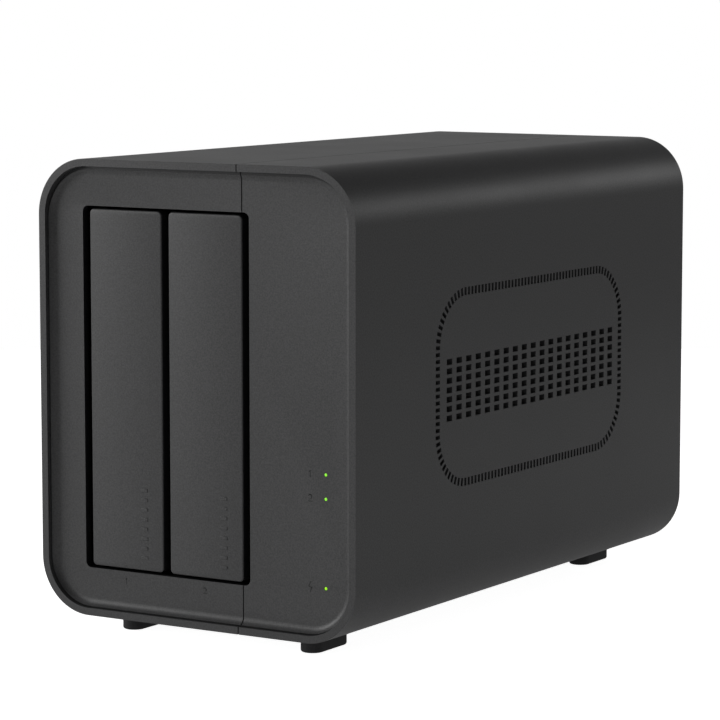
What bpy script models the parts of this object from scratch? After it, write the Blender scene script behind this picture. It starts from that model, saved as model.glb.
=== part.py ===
"""Two-bay network attached storage box: a split plastic shell, two drive trays, a fan, boards and ports.

Metres, +Z up. The origin is on the floor under the middle of the box, the front faces -Y, and a stranger
facing the front has +X on the right. Heights that start with SHELL_ are measured up from the floor.
"""

import math

import bmesh
import bpy
from mathutils import Matrix, Vector

# ---- driving sizes of the case ----
WIDTH = 0.119
DEPTH = 0.222
SHELL_HEIGHT = 0.1463
FOOT_HEIGHT = 0.006
CORNER_RADIUS = 0.0181
WALL = 0.0026
RIM_WIDTH = 0.0024
FACE_RECESS = 0.003
COVE_RADIUS = 0.0028
SEAM_INSET = 0.00263
SEAM_GAP = 0.0004
GAP = 0.0003
ARC_STEPS = 8

# ---- the bay opening and the trays in it ----
BAY_LEFT_MARGIN = 0.01518
BAY_BOTTOM_MARGIN = 0.01504
TRAY_FRONT_INSET = 0.00035
TRAY_FRONT_OVERLAP = 0.0022
TRAY_FRONT_DEPTH = 0.0065
TRAY_FRONT_RADIUS = 0.0015
TRAY_FRONT_EDGE = 0.0004
TRAY_SIDE_GAP = 0.0027
TRAY_END_GAP = 0.00095
DRIVE_THICKNESS = 0.0261
DRIVE_HEIGHT = 0.1016
DRIVE_LENGTH = 0.147
TRAY_BASE = 0.001
TRAY_RAIL = 0.0039
TRAY_EDGE = 0.0006
TRAY_RUN_CLEARANCE = 0.0006
TRAY_NOSE = 0.0045
CLIP_THICKNESS = 0.0016
CLIP_LENGTH = 0.118
CLIP_WIDTH = 0.014
PEG_RADIUS = 0.0014

# ---- drive cage, backplane and boards ----
SHEET = 0.001
BOARD = 0.0016
SATA_DEPTH = 0.0072
SATA_WIDTH = 0.0062
SATA_LENGTH = 0.034
BOARD_STANDOFF = 0.0112
MAIN_BOARD_LENGTH = 0.148
MAIN_BOARD_HEIGHT = 0.122

# ---- rear panel, fan and ports ----
PANEL = 0.002
PANEL_RECESS = 0.0022
FAN_SIZE = 0.08
FAN_THICKNESS = 0.025
FAN_SCREW_INSET = 0.00425
FAN_RIM = 0.002
FAN_SIDE_MARGIN = 0.00428
FAN_BOARD_CLEARANCE = 0.0018
FAN_CORNER = 0.004
FAN_STRUT = 0.0035
HUB_RADIUS = 0.0165
BLADE_COUNT = 7
BLADE_THICKNESS = 0.0014
BLADE_CHORD = 0.024
BLADE_PITCH_DEG = 38
TIP_CLEARANCE = 0.0012
MESH_HOLE = 0.0074
MESH_BAR = 0.0022
LAN_SIZE = (0.0135, 0.021, 0.016)
LAN_SOCKET = (0.0092, 0.0140, 0.0118)
USB_SIZE = (0.0072, 0.0175, 0.0145)
USB_SOCKET = (0.0052, 0.0120, 0.0125)
DC_SIZE = (0.0110, 0.0140, 0.0110)
DC_SOCKET_RADIUS = 0.0032
DC_PIN_RADIUS = 0.0010
BUTTON_RADIUS = 0.0040
BUTTON_LENGTH = 0.0062
BUTTON_PROUD = 0.0008
RESET_RADIUS = 0.0009

# ---- front lights, vents and feet ----
LIGHT_RADIUS = 0.00063
LIGHT_CLEARANCE = 0.00015
LIGHT_SIDE_INSET = 0.01265
LIGHT_UPS = {"light_pipe_1": 0.0523, "light_pipe_2": 0.0448, "light_pipe_power": 0.0171}
LIGHT_PIPE_LENGTH = 0.0085
VENT_LENGTH = 0.1269
VENT_HEIGHT = 0.0639
VENT_UP = 0.07345
VENT_CORNER = 0.019
BAND_WIDTH = 0.0026
BAND_SLOTS = 48
BAND_SLOT = 0.0036
LADDER_COLUMNS = 19
LADDER_PITCH = 0.0061
LADDER_WIDTH = 0.0034
LADDER_HEIGHT = 0.0199
FOOT_WIDTH = 0.0076
FOOT_LENGTH = 0.0204
FOOT_PAD_EDGE = 0.0012
FOOT_PAD_DROP = 0.0024
FOOT_SEAT = 0.0012
FOOT_SIDE_INSET = 0.0253
FOOT_FRONT_INSET = 0.0217
FOOT_REAR_INSET = 0.0226

# ---- places that follow from the sizes ----
FRONT_Y = -DEPTH / 2
REAR_Y = DEPTH / 2
FACE_Y = FRONT_Y + FACE_RECESS
FACE_BACK_Y = FACE_Y + WALL
SHELL_BOTTOM = FOOT_HEIGHT
SHELL_MIDDLE = FOOT_HEIGHT + SHELL_HEIGHT / 2
TRAY_WIDTH = TRAY_BASE + GAP + DRIVE_THICKNESS + TRAY_EDGE
TRAY_HEIGHT = DRIVE_HEIGHT + 2 * (TRAY_RAIL + GAP)
TRAY_FRONT_WIDTH = TRAY_WIDTH - TRAY_FRONT_INSET
TRAY_FRONT_HEIGHT = TRAY_HEIGHT + 2 * TRAY_FRONT_OVERLAP
BAY_WIDTH = 2 * TRAY_FRONT_WIDTH + 3 * TRAY_SIDE_GAP
BAY_HEIGHT = TRAY_FRONT_HEIGHT + 2 * TRAY_END_GAP
BAY_CENTRE_X = -WIDTH / 2 + BAY_LEFT_MARGIN + BAY_WIDTH / 2
BAY_Z = SHELL_BOTTOM + BAY_BOTTOM_MARGIN + BAY_HEIGHT / 2
BAY_PITCH = TRAY_FRONT_WIDTH + TRAY_SIDE_GAP
SEAM_OFFSET = BAY_CENTRE_X + BAY_WIDTH / 2 - SEAM_INSET
BAY_X = {1: BAY_CENTRE_X - BAY_PITCH / 2, 2: BAY_CENTRE_X + BAY_PITCH / 2}
TRAY_FRONT_BACK_Y = FACE_Y + TRAY_FRONT_DEPTH
TRAY_NOSE_Y = TRAY_FRONT_BACK_Y + 2 * GAP
DRIVE_FRONT_Y = TRAY_NOSE_Y + TRAY_NOSE + GAP
DRIVE_BACK_Y = DRIVE_FRONT_Y + DRIVE_LENGTH
CELL_WIDTH = TRAY_WIDTH + 2 * TRAY_RUN_CLEARANCE
CELL_HEIGHT = TRAY_HEIGHT + 2 * TRAY_RUN_CLEARANCE
CAGE_WIDTH = BAY_PITCH + CELL_WIDTH + 2 * SHEET
CAGE_HEIGHT = CELL_HEIGHT + 2 * SHEET
CAGE_RIGHT_X = BAY_CENTRE_X + CAGE_WIDTH / 2
CAGE_FRONT_Y = TRAY_NOSE_Y + TRAY_NOSE
CAGE_BACK_Y = DRIVE_BACK_Y + SATA_DEPTH + GAP
BACKPLANE_Y = CAGE_BACK_Y + GAP + BOARD / 2
PANEL_OUT_Y = REAR_Y - PANEL_RECESS
PANEL_IN_Y = PANEL_OUT_Y - PANEL
FAN_BORE = FAN_SIZE - 2 * FAN_RIM
FAN_SCREW_PITCH = FAN_SIZE - 2 * FAN_SCREW_INSET
FAN_Y = PANEL_IN_Y - GAP - FAN_THICKNESS / 2
FAN_X = -WIDTH / 2 + WALL + FAN_SIDE_MARGIN + FAN_SIZE / 2
BOARD_SIDE_X = max(CAGE_RIGHT_X + BOARD_STANDOFF, FAN_X + FAN_SIZE / 2 + FAN_BOARD_CLEARANCE)
MAIN_BOARD_X = BOARD_SIDE_X + GAP + BOARD / 2
MAIN_BOARD_BACK_Y = PANEL_IN_Y - GAP
PORT_FACE_X = MAIN_BOARD_X + BOARD / 2 + GAP
PORT_X = PORT_FACE_X + LAN_SIZE[0] / 2
PORT_OUT_Y = PANEL_OUT_Y - GAP
DC_Z = BAY_Z - 0.049
LAN_Z = {1: BAY_Z - 0.030, 2: BAY_Z - 0.0105}
USB_Z = {1: BAY_Z + 0.009, 2: BAY_Z + 0.027}
RESET_Z = BAY_Z + 0.0395
BUTTON_Z = BAY_Z + 0.0505
LIGHT_X = WIDTH / 2 - LIGHT_SIDE_INSET
FOOT_X = WIDTH / 2 - FOOT_SIDE_INSET


for leftover in list(bpy.data.objects):
    bpy.data.objects.remove(leftover)

PARTS = bpy.data.collections.new("network_storage")
CUTTERS = bpy.data.collections.new("cutters")
bpy.context.scene.collection.children.link(PARTS)
bpy.context.scene.collection.children.link(CUTTERS)

TURNS = {
    "XY": Matrix.Identity(4),
    "XZ": Matrix.Rotation(math.radians(90), 4, "X"),
    "YZ": Matrix.Rotation(math.radians(90), 4, "Z") @ Matrix.Rotation(math.radians(90), 4, "X"),
}
AXIS_PLANE = {"Z": "XY", "Y": "XZ", "X": "YZ"}


# ---- tools for making solids ----
def material(name, colour, roughness, metallic=0.0):
    made = bpy.data.materials.new(name)
    made.use_nodes = True
    shader = made.node_tree.nodes["Principled BSDF"]
    shader.inputs["Base Color"].default_value = (*colour, 1.0)
    shader.inputs["Roughness"].default_value = roughness
    shader.inputs["Metallic"].default_value = metallic
    made.diffuse_color = (*colour, 1.0)
    return made


def link(name, mesh):
    obj = bpy.data.objects.new(name, mesh)
    CUTTERS.objects.link(obj)
    obj.hide_render = True
    obj.display_type = "WIRE"
    return obj


def box(name, size, centre):
    """A block that is still a helper until keep() makes it a part."""
    shape = bmesh.new()
    bmesh.ops.create_cube(shape, size=1.0)
    bmesh.ops.scale(shape, vec=size, verts=shape.verts)
    mesh = bpy.data.meshes.new(name)
    shape.to_mesh(mesh)
    shape.free()
    obj = link(name, mesh)
    obj.location = centre
    return obj


def boxes(name, places):
    """Several blocks in one helper mesh: each place is a size, a centre and, if it leans, a turn about X."""
    shape = bmesh.new()
    for size, centre, *turn in places:
        lean = Matrix.Rotation(sum(turn), 4, "X")
        place = Matrix.Translation(centre) @ lean @ Matrix.Diagonal((*size, 1.0))
        bmesh.ops.create_cube(shape, size=1.0, matrix=place)
    mesh = bpy.data.meshes.new(name)
    shape.to_mesh(mesh)
    shape.free()
    return link(name, mesh)


def rod(name, radius, length, centre, axis="Y", sides=24, end_radius=None):
    shape = bmesh.new()
    bmesh.ops.create_cone(
        shape,
        cap_ends=True,
        segments=sides,
        radius1=radius,
        radius2=radius if end_radius is None else end_radius,
        depth=length,
    )
    mesh = bpy.data.meshes.new(name)
    shape.to_mesh(mesh)
    shape.free()
    obj = link(name, mesh)
    obj.matrix_world = Matrix.Translation(centre) @ TURNS[AXIS_PLANE[axis]]
    return obj


def rods(name, radius, length, centres, axis="Y", sides=12):
    """Several rods in one helper mesh, for a pattern of holes."""
    shape = bmesh.new()
    for centre in centres:
        place = Matrix.Translation(centre) @ TURNS[AXIS_PLANE[axis]]
        bmesh.ops.create_cone(
            shape, cap_ends=True, segments=sides, radius1=radius, radius2=radius, depth=length, matrix=place
        )
    mesh = bpy.data.meshes.new(name)
    shape.to_mesh(mesh)
    shape.free()
    return link(name, mesh)


def rounded(width, height, radius, steps=ARC_STEPS):
    """The points of a rounded rectangle about its own middle, anticlockwise."""
    points = []
    for quarter in range(4):
        side_x = (1, -1, -1, 1)[quarter] * (width / 2 - radius)
        side_y = (1, 1, -1, -1)[quarter] * (height / 2 - radius)
        for step in range(steps + 1):
            angle = math.radians(90 * (quarter + step / steps))
            points.append((side_x + radius * math.cos(angle), side_y + radius * math.sin(angle)))
    return points


def shifted(outline, across, up):
    return [(x + across, y + up) for x, y in outline]


def even_out_caps(shape, cap):
    """Swaps edges in the two flat ends, so that no triangle there is a sliver."""
    flat = {face for face in shape.faces if all(abs(abs(v.co.z) - cap) < 1e-6 for v in face.verts)}
    inside = [edge for edge in shape.edges if len(edge.link_faces) == 2 and set(edge.link_faces) <= flat]
    bmesh.ops.beautify_fill(shape, faces=list(flat), edges=inside)


def plate(name, outlines, thickness, centre, plane="XZ", rounding=0.0, rounding_steps=3):
    """A flat outline with holes, given its thickness, with its rims rounded if asked."""
    curve = bpy.data.curves.new(name, "CURVE")
    curve.dimensions = "2D"
    curve.fill_mode = "BOTH"
    curve.extrude = thickness / 2 - rounding
    curve.bevel_depth = rounding
    curve.bevel_resolution = rounding_steps
    curve.offset = -rounding
    for outline in outlines:
        spline = curve.splines.new("POLY")
        spline.points.add(len(outline) - 1)
        for point, (across, up) in zip(spline.points, outline):
            point.co = (across, up, 0.0, 1.0)
        spline.use_cyclic_u = True
    guide = bpy.data.objects.new(f"{name}_outline", curve)
    CUTTERS.objects.link(guide)
    guide.matrix_world = Matrix.Translation(centre) @ TURNS[plane]
    bpy.context.view_layer.update()
    evaluated = guide.evaluated_get(bpy.context.evaluated_depsgraph_get())
    mesh = bpy.data.meshes.new_from_object(evaluated)
    shape = bmesh.new()
    shape.from_mesh(mesh)
    bmesh.ops.remove_doubles(shape, verts=shape.verts, dist=1e-6)
    even_out_caps(shape, thickness / 2)
    bmesh.ops.recalc_face_normals(shape, faces=shape.faces)
    shape.to_mesh(mesh)
    shape.free()
    obj = link(name, mesh)
    obj.matrix_world = guide.matrix_world
    bpy.data.objects.remove(guide)
    return obj


def boolean(target, operation, tools):
    for tool in tools:
        step = target.modifiers.new(tool.name, "BOOLEAN")
        step.operation = operation
        step.solver = "EXACT"
        step.object = tool
    return target


def cut(target, *tools):
    return boolean(target, "DIFFERENCE", tools)


def join(target, *tools):
    return boolean(target, "UNION", tools)


def keep(obj, finish, body=None):
    """Turns a helper into a part, with its material, on the body that it moves with."""
    CUTTERS.objects.unlink(obj)
    PARTS.objects.link(obj)
    obj.hide_render = False
    obj.display_type = "TEXTURED"
    obj.data.materials.clear()
    obj.data.materials.append(finish)
    obj.data.shade_smooth()
    obj.data.set_sharp_from_angle(angle=math.radians(35))
    if body is not None:
        obj.parent = body
        obj.matrix_parent_inverse = body.matrix_world.inverted()
    return obj


def body_at(name, place, parent=None):
    """An empty on a joint's axis, which the pieces of that body hang from."""
    empty = bpy.data.objects.new(name, None)
    PARTS.objects.link(empty)
    empty.empty_display_size = 0.01
    empty.location = place
    bpy.context.view_layer.update()
    if parent is not None:
        empty.parent = parent
        empty.matrix_parent_inverse = parent.matrix_world.inverted()
        bpy.context.view_layer.update()
    return empty


def turned(name, profile, centre, axis="Y", steps=12):
    """A solid turned about its own axis. The profile is (radius, height) points, from the top down."""
    mesh = bpy.data.meshes.new(name)
    shape = bmesh.new()
    points = [shape.verts.new((radius, 0.0, height)) for radius, height in profile]
    for first, second in zip(points, points[1:]):
        shape.edges.new((first, second))
    shape.to_mesh(mesh)
    shape.free()
    obj = link(name, mesh)
    obj.matrix_world = Matrix.Translation(centre) @ TURNS[AXIS_PLANE[axis]]
    spin = obj.modifiers.new("turn", "SCREW")
    spin.steps = steps
    spin.render_steps = steps
    spin.use_merge_vertices = True
    spin.merge_threshold = 1e-5
    return obj


def cable(name, route, radius, points_per_leg=4):
    """A round cable on a smooth curve through the route."""
    ends = [2 * route[0] - route[1], *route, 2 * route[-1] - route[-2]]
    path = []
    for before, start, end, after in zip(ends, ends[1:], ends[2:], ends[3:]):
        for step in range(points_per_leg):
            t = step / points_per_leg
            path.append(
                0.5
                * (
                    2 * start
                    + (end - before) * t
                    + (2 * before - 5 * start + 4 * end - after) * t**2
                    + (3 * start - before - 3 * end + after) * t**3
                )
            )
    path.append(route[-1])
    curve = bpy.data.curves.new(name, "CURVE")
    curve.dimensions = "3D"
    curve.bevel_depth = radius
    curve.bevel_resolution = 1
    curve.use_fill_caps = True
    spline = curve.splines.new("POLY")
    spline.points.add(len(path) - 1)
    for point, place in zip(spline.points, path):
        point.co = (*place, 1.0)
    obj = bpy.data.objects.new(name, curve)
    CUTTERS.objects.link(obj)
    return obj


def cell_span(low, high):
    """The size and the middle of a stretch between two ends."""
    return high - low, (high + low) / 2


# ---- materials ----
CASE = material("case_plastic", (0.055, 0.056, 0.058), 0.62)
BEZEL = material("bezel_plastic", (0.060, 0.061, 0.063), 0.60)
TRAY = material("tray_plastic", (0.030, 0.031, 0.032), 0.55)
CLIP = material("clip_plastic", (0.045, 0.046, 0.048), 0.50)
RUBBER = material("foot_rubber", (0.020, 0.020, 0.021), 0.75)
LIGHT = material("light_pipe", (0.30, 0.75, 0.06), 0.25)
CAGE = material("cage_steel", (0.55, 0.56, 0.57), 0.38, 1.0)
PLATE = material("rear_panel_plastic", (0.050, 0.051, 0.053), 0.58)
CIRCUIT = material("circuit_board", (0.020, 0.120, 0.055), 0.45)
SOCKET = material("socket_metal", (0.66, 0.66, 0.67), 0.30, 1.0)
BLACK = material("socket_plastic", (0.018, 0.018, 0.019), 0.45)
SINK = material("heat_sink", (0.62, 0.63, 0.65), 0.35, 1.0)
FAN = material("fan_plastic", (0.020, 0.020, 0.021), 0.40)
SCREW = material("screw_steel", (0.40, 0.40, 0.41), 0.30, 1.0)
DRIVE = material("drive_casting", (0.52, 0.53, 0.54), 0.42, 1.0)
CELL = material("battery_steel", (0.72, 0.72, 0.73), 0.25, 1.0)


# ---- casing ----
FEET = {
    f"foot_{end}_{side}": (across * FOOT_X, along)
    for side, across in (("left", -1), ("right", 1))
    for end, along in (("front", FRONT_Y + FOOT_FRONT_INSET), ("rear", REAR_Y - FOOT_REAR_INSET))
}
PANEL_SCREW_X = WIDTH / 2 - WALL - 0.0036
PANEL_SCREW_RISE = SHELL_HEIGHT / 2 - 0.026
PANEL_SCREWS = {
    "panel_screw_1": (-PANEL_SCREW_X, SHELL_MIDDLE + PANEL_SCREW_RISE),
    "panel_screw_2": (PANEL_SCREW_X, SHELL_MIDDLE + PANEL_SCREW_RISE),
    "panel_screw_3": (-PANEL_SCREW_X, SHELL_MIDDLE - PANEL_SCREW_RISE),
    "panel_screw_4": (PANEL_SCREW_X, SHELL_MIDDLE - PANEL_SCREW_RISE),
}
SCREW_SHANK = 0.0013
SCREW_HEAD = 0.0027
SCREW_HEAD_HEIGHT = 0.0016
SCREW_LENGTH = 0.0090
BOSS_RADIUS = 0.0038
BOSS_LENGTH = 0.014
CAGE_RIB_INSET = 0.0058
CAGE_RIB_CLEARANCE = 0.004
CAGE_RIB_THICKNESS = 0.002


def stadium(width, length):
    return rounded(width, length, width / 2, 4)


def perimeter_places(width, height, radius, count):
    """Evenly spaced points round a rounded rectangle, each with the direction that points outwards."""
    half_w, half_h = width / 2 - radius, height / 2 - radius
    arc = math.pi * radius / 2
    stretches = [2 * half_h, arc, 2 * half_w, arc] * 2
    corners = [(half_w, half_h), (-half_w, half_h), (-half_w, -half_h), (half_w, -half_h)]
    for number in range(count):
        run = (number + 0.5) / count * sum(stretches)
        index = 0
        while run > stretches[index]:
            run -= stretches[index]
            index += 1
        side = index // 2
        facing = side * math.pi / 2
        if index % 2:
            turn = facing + run / radius
            across, up = corners[side]
            yield across + radius * math.cos(turn), up + radius * math.sin(turn), turn
            continue
        out = Vector((math.cos(facing), math.sin(facing)))
        along = Vector((-out.y, out.x))
        reach = (half_h if side % 2 else half_w) + radius
        point = out * reach + along * (run - stretches[index] / 2)
        yield point.x, point.y, facing


def vent_places(side):
    """A band of slots round a long rounded outline, with a row of upright slots inside it."""
    across = side * WIDTH / 2
    depth = 4 * WALL
    middle = SHELL_BOTTOM + VENT_UP
    band = perimeter_places(
        VENT_LENGTH - BAND_WIDTH, VENT_HEIGHT - BAND_WIDTH, VENT_CORNER - BAND_WIDTH / 2, BAND_SLOTS
    )
    slot = (depth, BAND_WIDTH, BAND_SLOT)
    places = [(slot, (across, along, middle + up), turn) for along, up, turn in band]
    for column in range(LADDER_COLUMNS):
        along = (column - (LADDER_COLUMNS - 1) / 2) * LADDER_PITCH
        places.append(((depth, LADDER_WIDTH, LADDER_HEIGHT), (across, along, middle)))
    return places


def casing(name):
    """The whole casing before it is split at the seam."""
    whole = plate(name, [rounded(WIDTH, SHELL_HEIGHT, CORNER_RADIUS)], DEPTH, (0, 0, SHELL_MIDDLE))
    recess_depth = FACE_RECESS + 2 * COVE_RADIUS
    recess = plate(
        f"{name}_face_recess",
        [rounded(WIDTH - 2 * RIM_WIDTH, SHELL_HEIGHT - 2 * RIM_WIDTH, CORNER_RADIUS - RIM_WIDTH)],
        recess_depth,
        (0, FACE_Y - recess_depth / 2, SHELL_MIDDLE),
        rounding=COVE_RADIUS,
    )
    inside_depth, inside_middle = cell_span(FACE_BACK_Y, REAR_Y + WALL)
    inside = plate(
        f"{name}_inside",
        [rounded(WIDTH - 2 * WALL, SHELL_HEIGHT - 2 * WALL, CORNER_RADIUS - WALL)],
        inside_depth,
        (0, inside_middle, SHELL_MIDDLE),
    )
    bay = plate(
        f"{name}_bay",
        [rounded(BAY_WIDTH, BAY_HEIGHT, TRAY_FRONT_RADIUS + TRAY_END_GAP / 2, 4)],
        4 * WALL,
        (BAY_CENTRE_X, FACE_Y, BAY_Z),
    )
    return cut(whole, recess, inside, bay)


def half_casing(name, side):
    """One half of the casing: side is -1 for the left half and 1 for the right."""
    half = casing(name)
    pads = [
        plate(
            f"{name}_pad_{foot}",
            [stadium(FOOT_WIDTH + 2 * FOOT_PAD_EDGE, FOOT_LENGTH + 2 * FOOT_PAD_EDGE)],
            FOOT_PAD_DROP + WALL / 2,
            (across, along, SHELL_BOTTOM - FOOT_PAD_DROP / 2 + WALL / 4),
            "XY",
        )
        for foot, (across, along) in FEET.items()
        if across * side > 0
    ]
    boss_middle = PANEL_IN_Y - GAP - BOSS_LENGTH / 2
    bosses = [
        rod(f"{name}_boss_{screw}", BOSS_RADIUS, BOSS_LENGTH, (across, boss_middle, up), sides=16)
        for screw, (across, up) in PANEL_SCREWS.items()
        if across * side > 0
    ]
    join(half, *pads, *bosses)
    seats = [
        plate(
            f"{name}_seat_{foot}",
            [stadium(FOOT_WIDTH + 2 * GAP, FOOT_LENGTH + 2 * GAP)],
            2 * FOOT_SEAT,
            (across, along, SHELL_BOTTOM - FOOT_PAD_DROP),
            "XY",
        )
        for foot, (across, along) in FEET.items()
        if across * side > 0
    ]
    holes = [
        rod(f"{name}_hole_{screw}", SCREW_SHANK + GAP, SCREW_LENGTH * 2, (across, PANEL_IN_Y, up), sides=12)
        for screw, (across, up) in PANEL_SCREWS.items()
        if across * side > 0
    ]
    vents = boxes(f"{name}_vents", vent_places(side))
    away = WIDTH
    split = box(
        f"{name}_split",
        (2 * away, 2 * DEPTH, 2 * SHELL_HEIGHT),
        (SEAM_OFFSET + side * (SEAM_GAP / 2 - away), 0, SHELL_MIDDLE),
    )
    return cut(half, *seats, *holes, vents, split)


def seam_lip(up, way):
    """A lip on the left half that closes the seam from inside: way is 1 at the top and -1 at the bottom."""
    lip = 0.0015
    lip_length, lip_middle = cell_span(FACE_BACK_Y + WALL, PANEL_IN_Y - WALL)
    root = box(
        f"lip_root_{way}",
        (0.006, lip_length, lip + WALL / 4),
        (SEAM_OFFSET - SEAM_GAP / 2 - 0.003 - GAP, lip_middle, up - way * (lip / 2 - WALL / 8)),
    )
    tongue_height = lip - GAP
    tongue = box(
        f"lip_tongue_{way}",
        (0.007, lip_length, tongue_height),
        (SEAM_OFFSET, lip_middle, up - way * (GAP + tongue_height / 2)),
    )
    return [root, tongue]


def cage_ribs():
    """Ribs on the floor of the left half that hold the drive cage up."""
    height, middle = cell_span(SHELL_BOTTOM + WALL / 2, BAY_Z - CAGE_HEIGHT / 2 - GAP)
    cage_left = BAY_CENTRE_X - CAGE_WIDTH / 2
    width, across = cell_span(cage_left + CAGE_RIB_INSET, SEAM_OFFSET - CAGE_RIB_CLEARANCE)
    return [
        box(f"cage_rib_{number}", (width, CAGE_RIB_THICKNESS, height), (across, along, middle))
        for number, along in enumerate((CAGE_FRONT_Y + 0.015, CAGE_BACK_Y - 0.015))
    ]


def make_casing():
    left = half_casing("left_shell", -1)
    inner_top = SHELL_BOTTOM + SHELL_HEIGHT - WALL
    join(left, *seam_lip(inner_top, 1), *seam_lip(SHELL_BOTTOM + WALL, -1), *cage_ribs())
    keep(left, CASE)
    right = half_casing("right_shell", 1)
    places = [(LIGHT_X, FACE_Y, SHELL_BOTTOM + up) for up in LIGHT_UPS.values()]
    cut(right, rods("light_holes", LIGHT_RADIUS + LIGHT_CLEARANCE, 4 * WALL, places, sides=16))
    keep(right, CASE)
    foot_thickness = FOOT_HEIGHT - FOOT_PAD_DROP + FOOT_SEAT - GAP
    for name, (across, along) in FEET.items():
        foot = plate(
            name,
            [stadium(FOOT_WIDTH, FOOT_LENGTH)],
            foot_thickness,
            (across, along, foot_thickness / 2),
            "XY",
            rounding=0.0005,
            rounding_steps=0,
        )
        keep(foot, RUBBER)


# ---- front lights ----
PIPE_FLANGE = 0.0015
LIGHT_BOARD_WIDTH = 0.0105
LIGHT_BOARD_Y = FACE_Y + LIGHT_PIPE_LENGTH + GAP + BOARD / 2
LIGHT_BOARD_LOW = min(LIGHT_UPS.values()) - 0.004
LIGHT_BOARD_HIGH = max(LIGHT_UPS.values()) + 0.005


def make_lights():
    for name, up in LIGHT_UPS.items():
        pin = WALL + GAP
        profile = [
            (0, 0),
            (LIGHT_RADIUS, 0),
            (LIGHT_RADIUS, -pin),
            (PIPE_FLANGE, -pin),
            (PIPE_FLANGE, -pin - 0.001),
            (LIGHT_RADIUS, -pin - 0.001),
            (LIGHT_RADIUS, -LIGHT_PIPE_LENGTH),
            (0, -LIGHT_PIPE_LENGTH),
        ]
        pipe = turned(name, profile, (LIGHT_X, FACE_Y, SHELL_BOTTOM + up))
        keep(pipe, LIGHT)
    height, middle = cell_span(LIGHT_BOARD_LOW, LIGHT_BOARD_HIGH)
    outline = rounded(LIGHT_BOARD_WIDTH, height, 0.001, 2)
    board = plate("light_board", [outline], BOARD, (LIGHT_X, LIGHT_BOARD_Y, SHELL_BOTTOM + middle))
    keep(board, CIRCUIT)


# ---- drive cage, backplane and connectors ----
CAGE_WINDOW = (0.020, 0.034)
CAGE_WINDOW_PITCH = (0.0285, 0.050)
CAGE_WINDOW_COLUMNS = 5
BOARD_RAIL_WIDTH = 0.005
BOARD_RAIL_RISE = 0.0515
BOARD_RAIL_INSET = 0.008
BOARD_RAIL_FRONT = max(CAGE_FRONT_Y, MAIN_BOARD_BACK_Y - MAIN_BOARD_LENGTH) + BOARD_RAIL_INSET
BOARD_RAIL_BACK = min(CAGE_BACK_Y, MAIN_BOARD_BACK_Y) - BOARD_RAIL_INSET
BOARD_HOLE_INSET = 0.006
BOARD_HOLES = [
    (along, BAY_Z + way * BOARD_RAIL_RISE)
    for along in (BOARD_RAIL_FRONT + BOARD_HOLE_INSET, BOARD_RAIL_BACK - BOARD_HOLE_INSET)
    for way in (-1, 1)
]


def cage_wall(name, x, height):
    """An upright sheet of the cage, between its top and its bottom, with windows for the air."""
    length, middle = cell_span(CAGE_FRONT_Y, CAGE_BACK_Y)
    wall = box(name, (SHEET, length, height), (x, middle, BAY_Z))
    windows = boxes(
        f"{name}_windows",
        [
            (
                (4 * SHEET, *CAGE_WINDOW),
                (
                    x,
                    middle + (column - (CAGE_WINDOW_COLUMNS - 1) / 2) * CAGE_WINDOW_PITCH[0],
                    BAY_Z + up * CAGE_WINDOW_PITCH[1] / 2,
                ),
            )
            for column in range(CAGE_WINDOW_COLUMNS)
            for up in (-1, 1)
        ],
    )
    return cut(wall, windows)


def make_cage():
    """Two flat plates with three upright walls between them, so that each bay is open at the front."""
    length, middle = cell_span(CAGE_FRONT_Y, CAGE_BACK_Y)
    for name, way in (("cage_top_plate", 1), ("cage_bottom_plate", -1)):
        up = BAY_Z + way * (CAGE_HEIGHT - SHEET) / 2
        keep(box(name, (CAGE_WIDTH, length, SHEET), (BAY_CENTRE_X, middle, up)), CAGE)
    wall_height = CELL_HEIGHT - 2 * GAP
    side = (CAGE_WIDTH - SHEET) / 2
    keep(cage_wall("cage_left_wall", BAY_CENTRE_X - side, wall_height), CAGE)
    keep(cage_wall("cage_centre_wall", BAY_CENTRE_X, wall_height), CAGE)
    keep(cage_wall("cage_right_wall", BAY_CENTRE_X + side, wall_height), CAGE)


def make_board_rails():
    """Two bars on the side of the cage that the main board is screwed to."""
    reach, across = cell_span(CAGE_RIGHT_X + GAP, BOARD_SIDE_X)
    length, middle = cell_span(BOARD_RAIL_FRONT, BOARD_RAIL_BACK)
    for name, way in (("board_rail_upper", 1), ("board_rail_lower", -1)):
        centre = (across, middle, BAY_Z + way * BOARD_RAIL_RISE)
        keep(box(name, (reach, length, BOARD_RAIL_WIDTH), centre), CLIP)


def make_backplane():
    left = BAY_CENTRE_X - CAGE_WIDTH / 2
    right = MAIN_BOARD_X - BOARD / 2 - 0.0015
    width, middle = cell_span(left, right)
    height = CAGE_HEIGHT - 0.012
    holes = [
        shifted(rounded(0.018, 0.026, 0.004, 2), BAY_X[bay] - middle, up)
        for bay in (1, 2)
        for up in (-0.034, 0.034)
    ]
    outlines = [rounded(width, height, 0.002, 2), *holes]
    board = plate("backplane_board", outlines, BOARD, (middle, BACKPLANE_Y, BAY_Z))
    keep(board, CIRCUIT)
    for bay in (1, 2):
        front = DRIVE_BACK_Y + GAP
        centre = (BAY_X[bay], front + SATA_DEPTH / 2, BAY_Z)
        connector = box(f"sata_connector_{bay}", (SATA_WIDTH, SATA_DEPTH, SATA_LENGTH), centre)
        slot = box(f"sata_slot_{bay}", (0.0022, 0.010, SATA_LENGTH - 0.004), (BAY_X[bay], front, BAY_Z))
        keep(cut(connector, slot), BLACK)
    link_depth = 0.008
    link_back = MAIN_BOARD_X - BOARD / 2 - GAP
    link_front = BACKPLANE_Y + BOARD / 2 + GAP
    centre = (link_back - 0.003, link_front + link_depth / 2, BAY_Z)
    keep(box("link_connector", (0.006, link_depth, 0.042), centre), BLACK)


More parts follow.
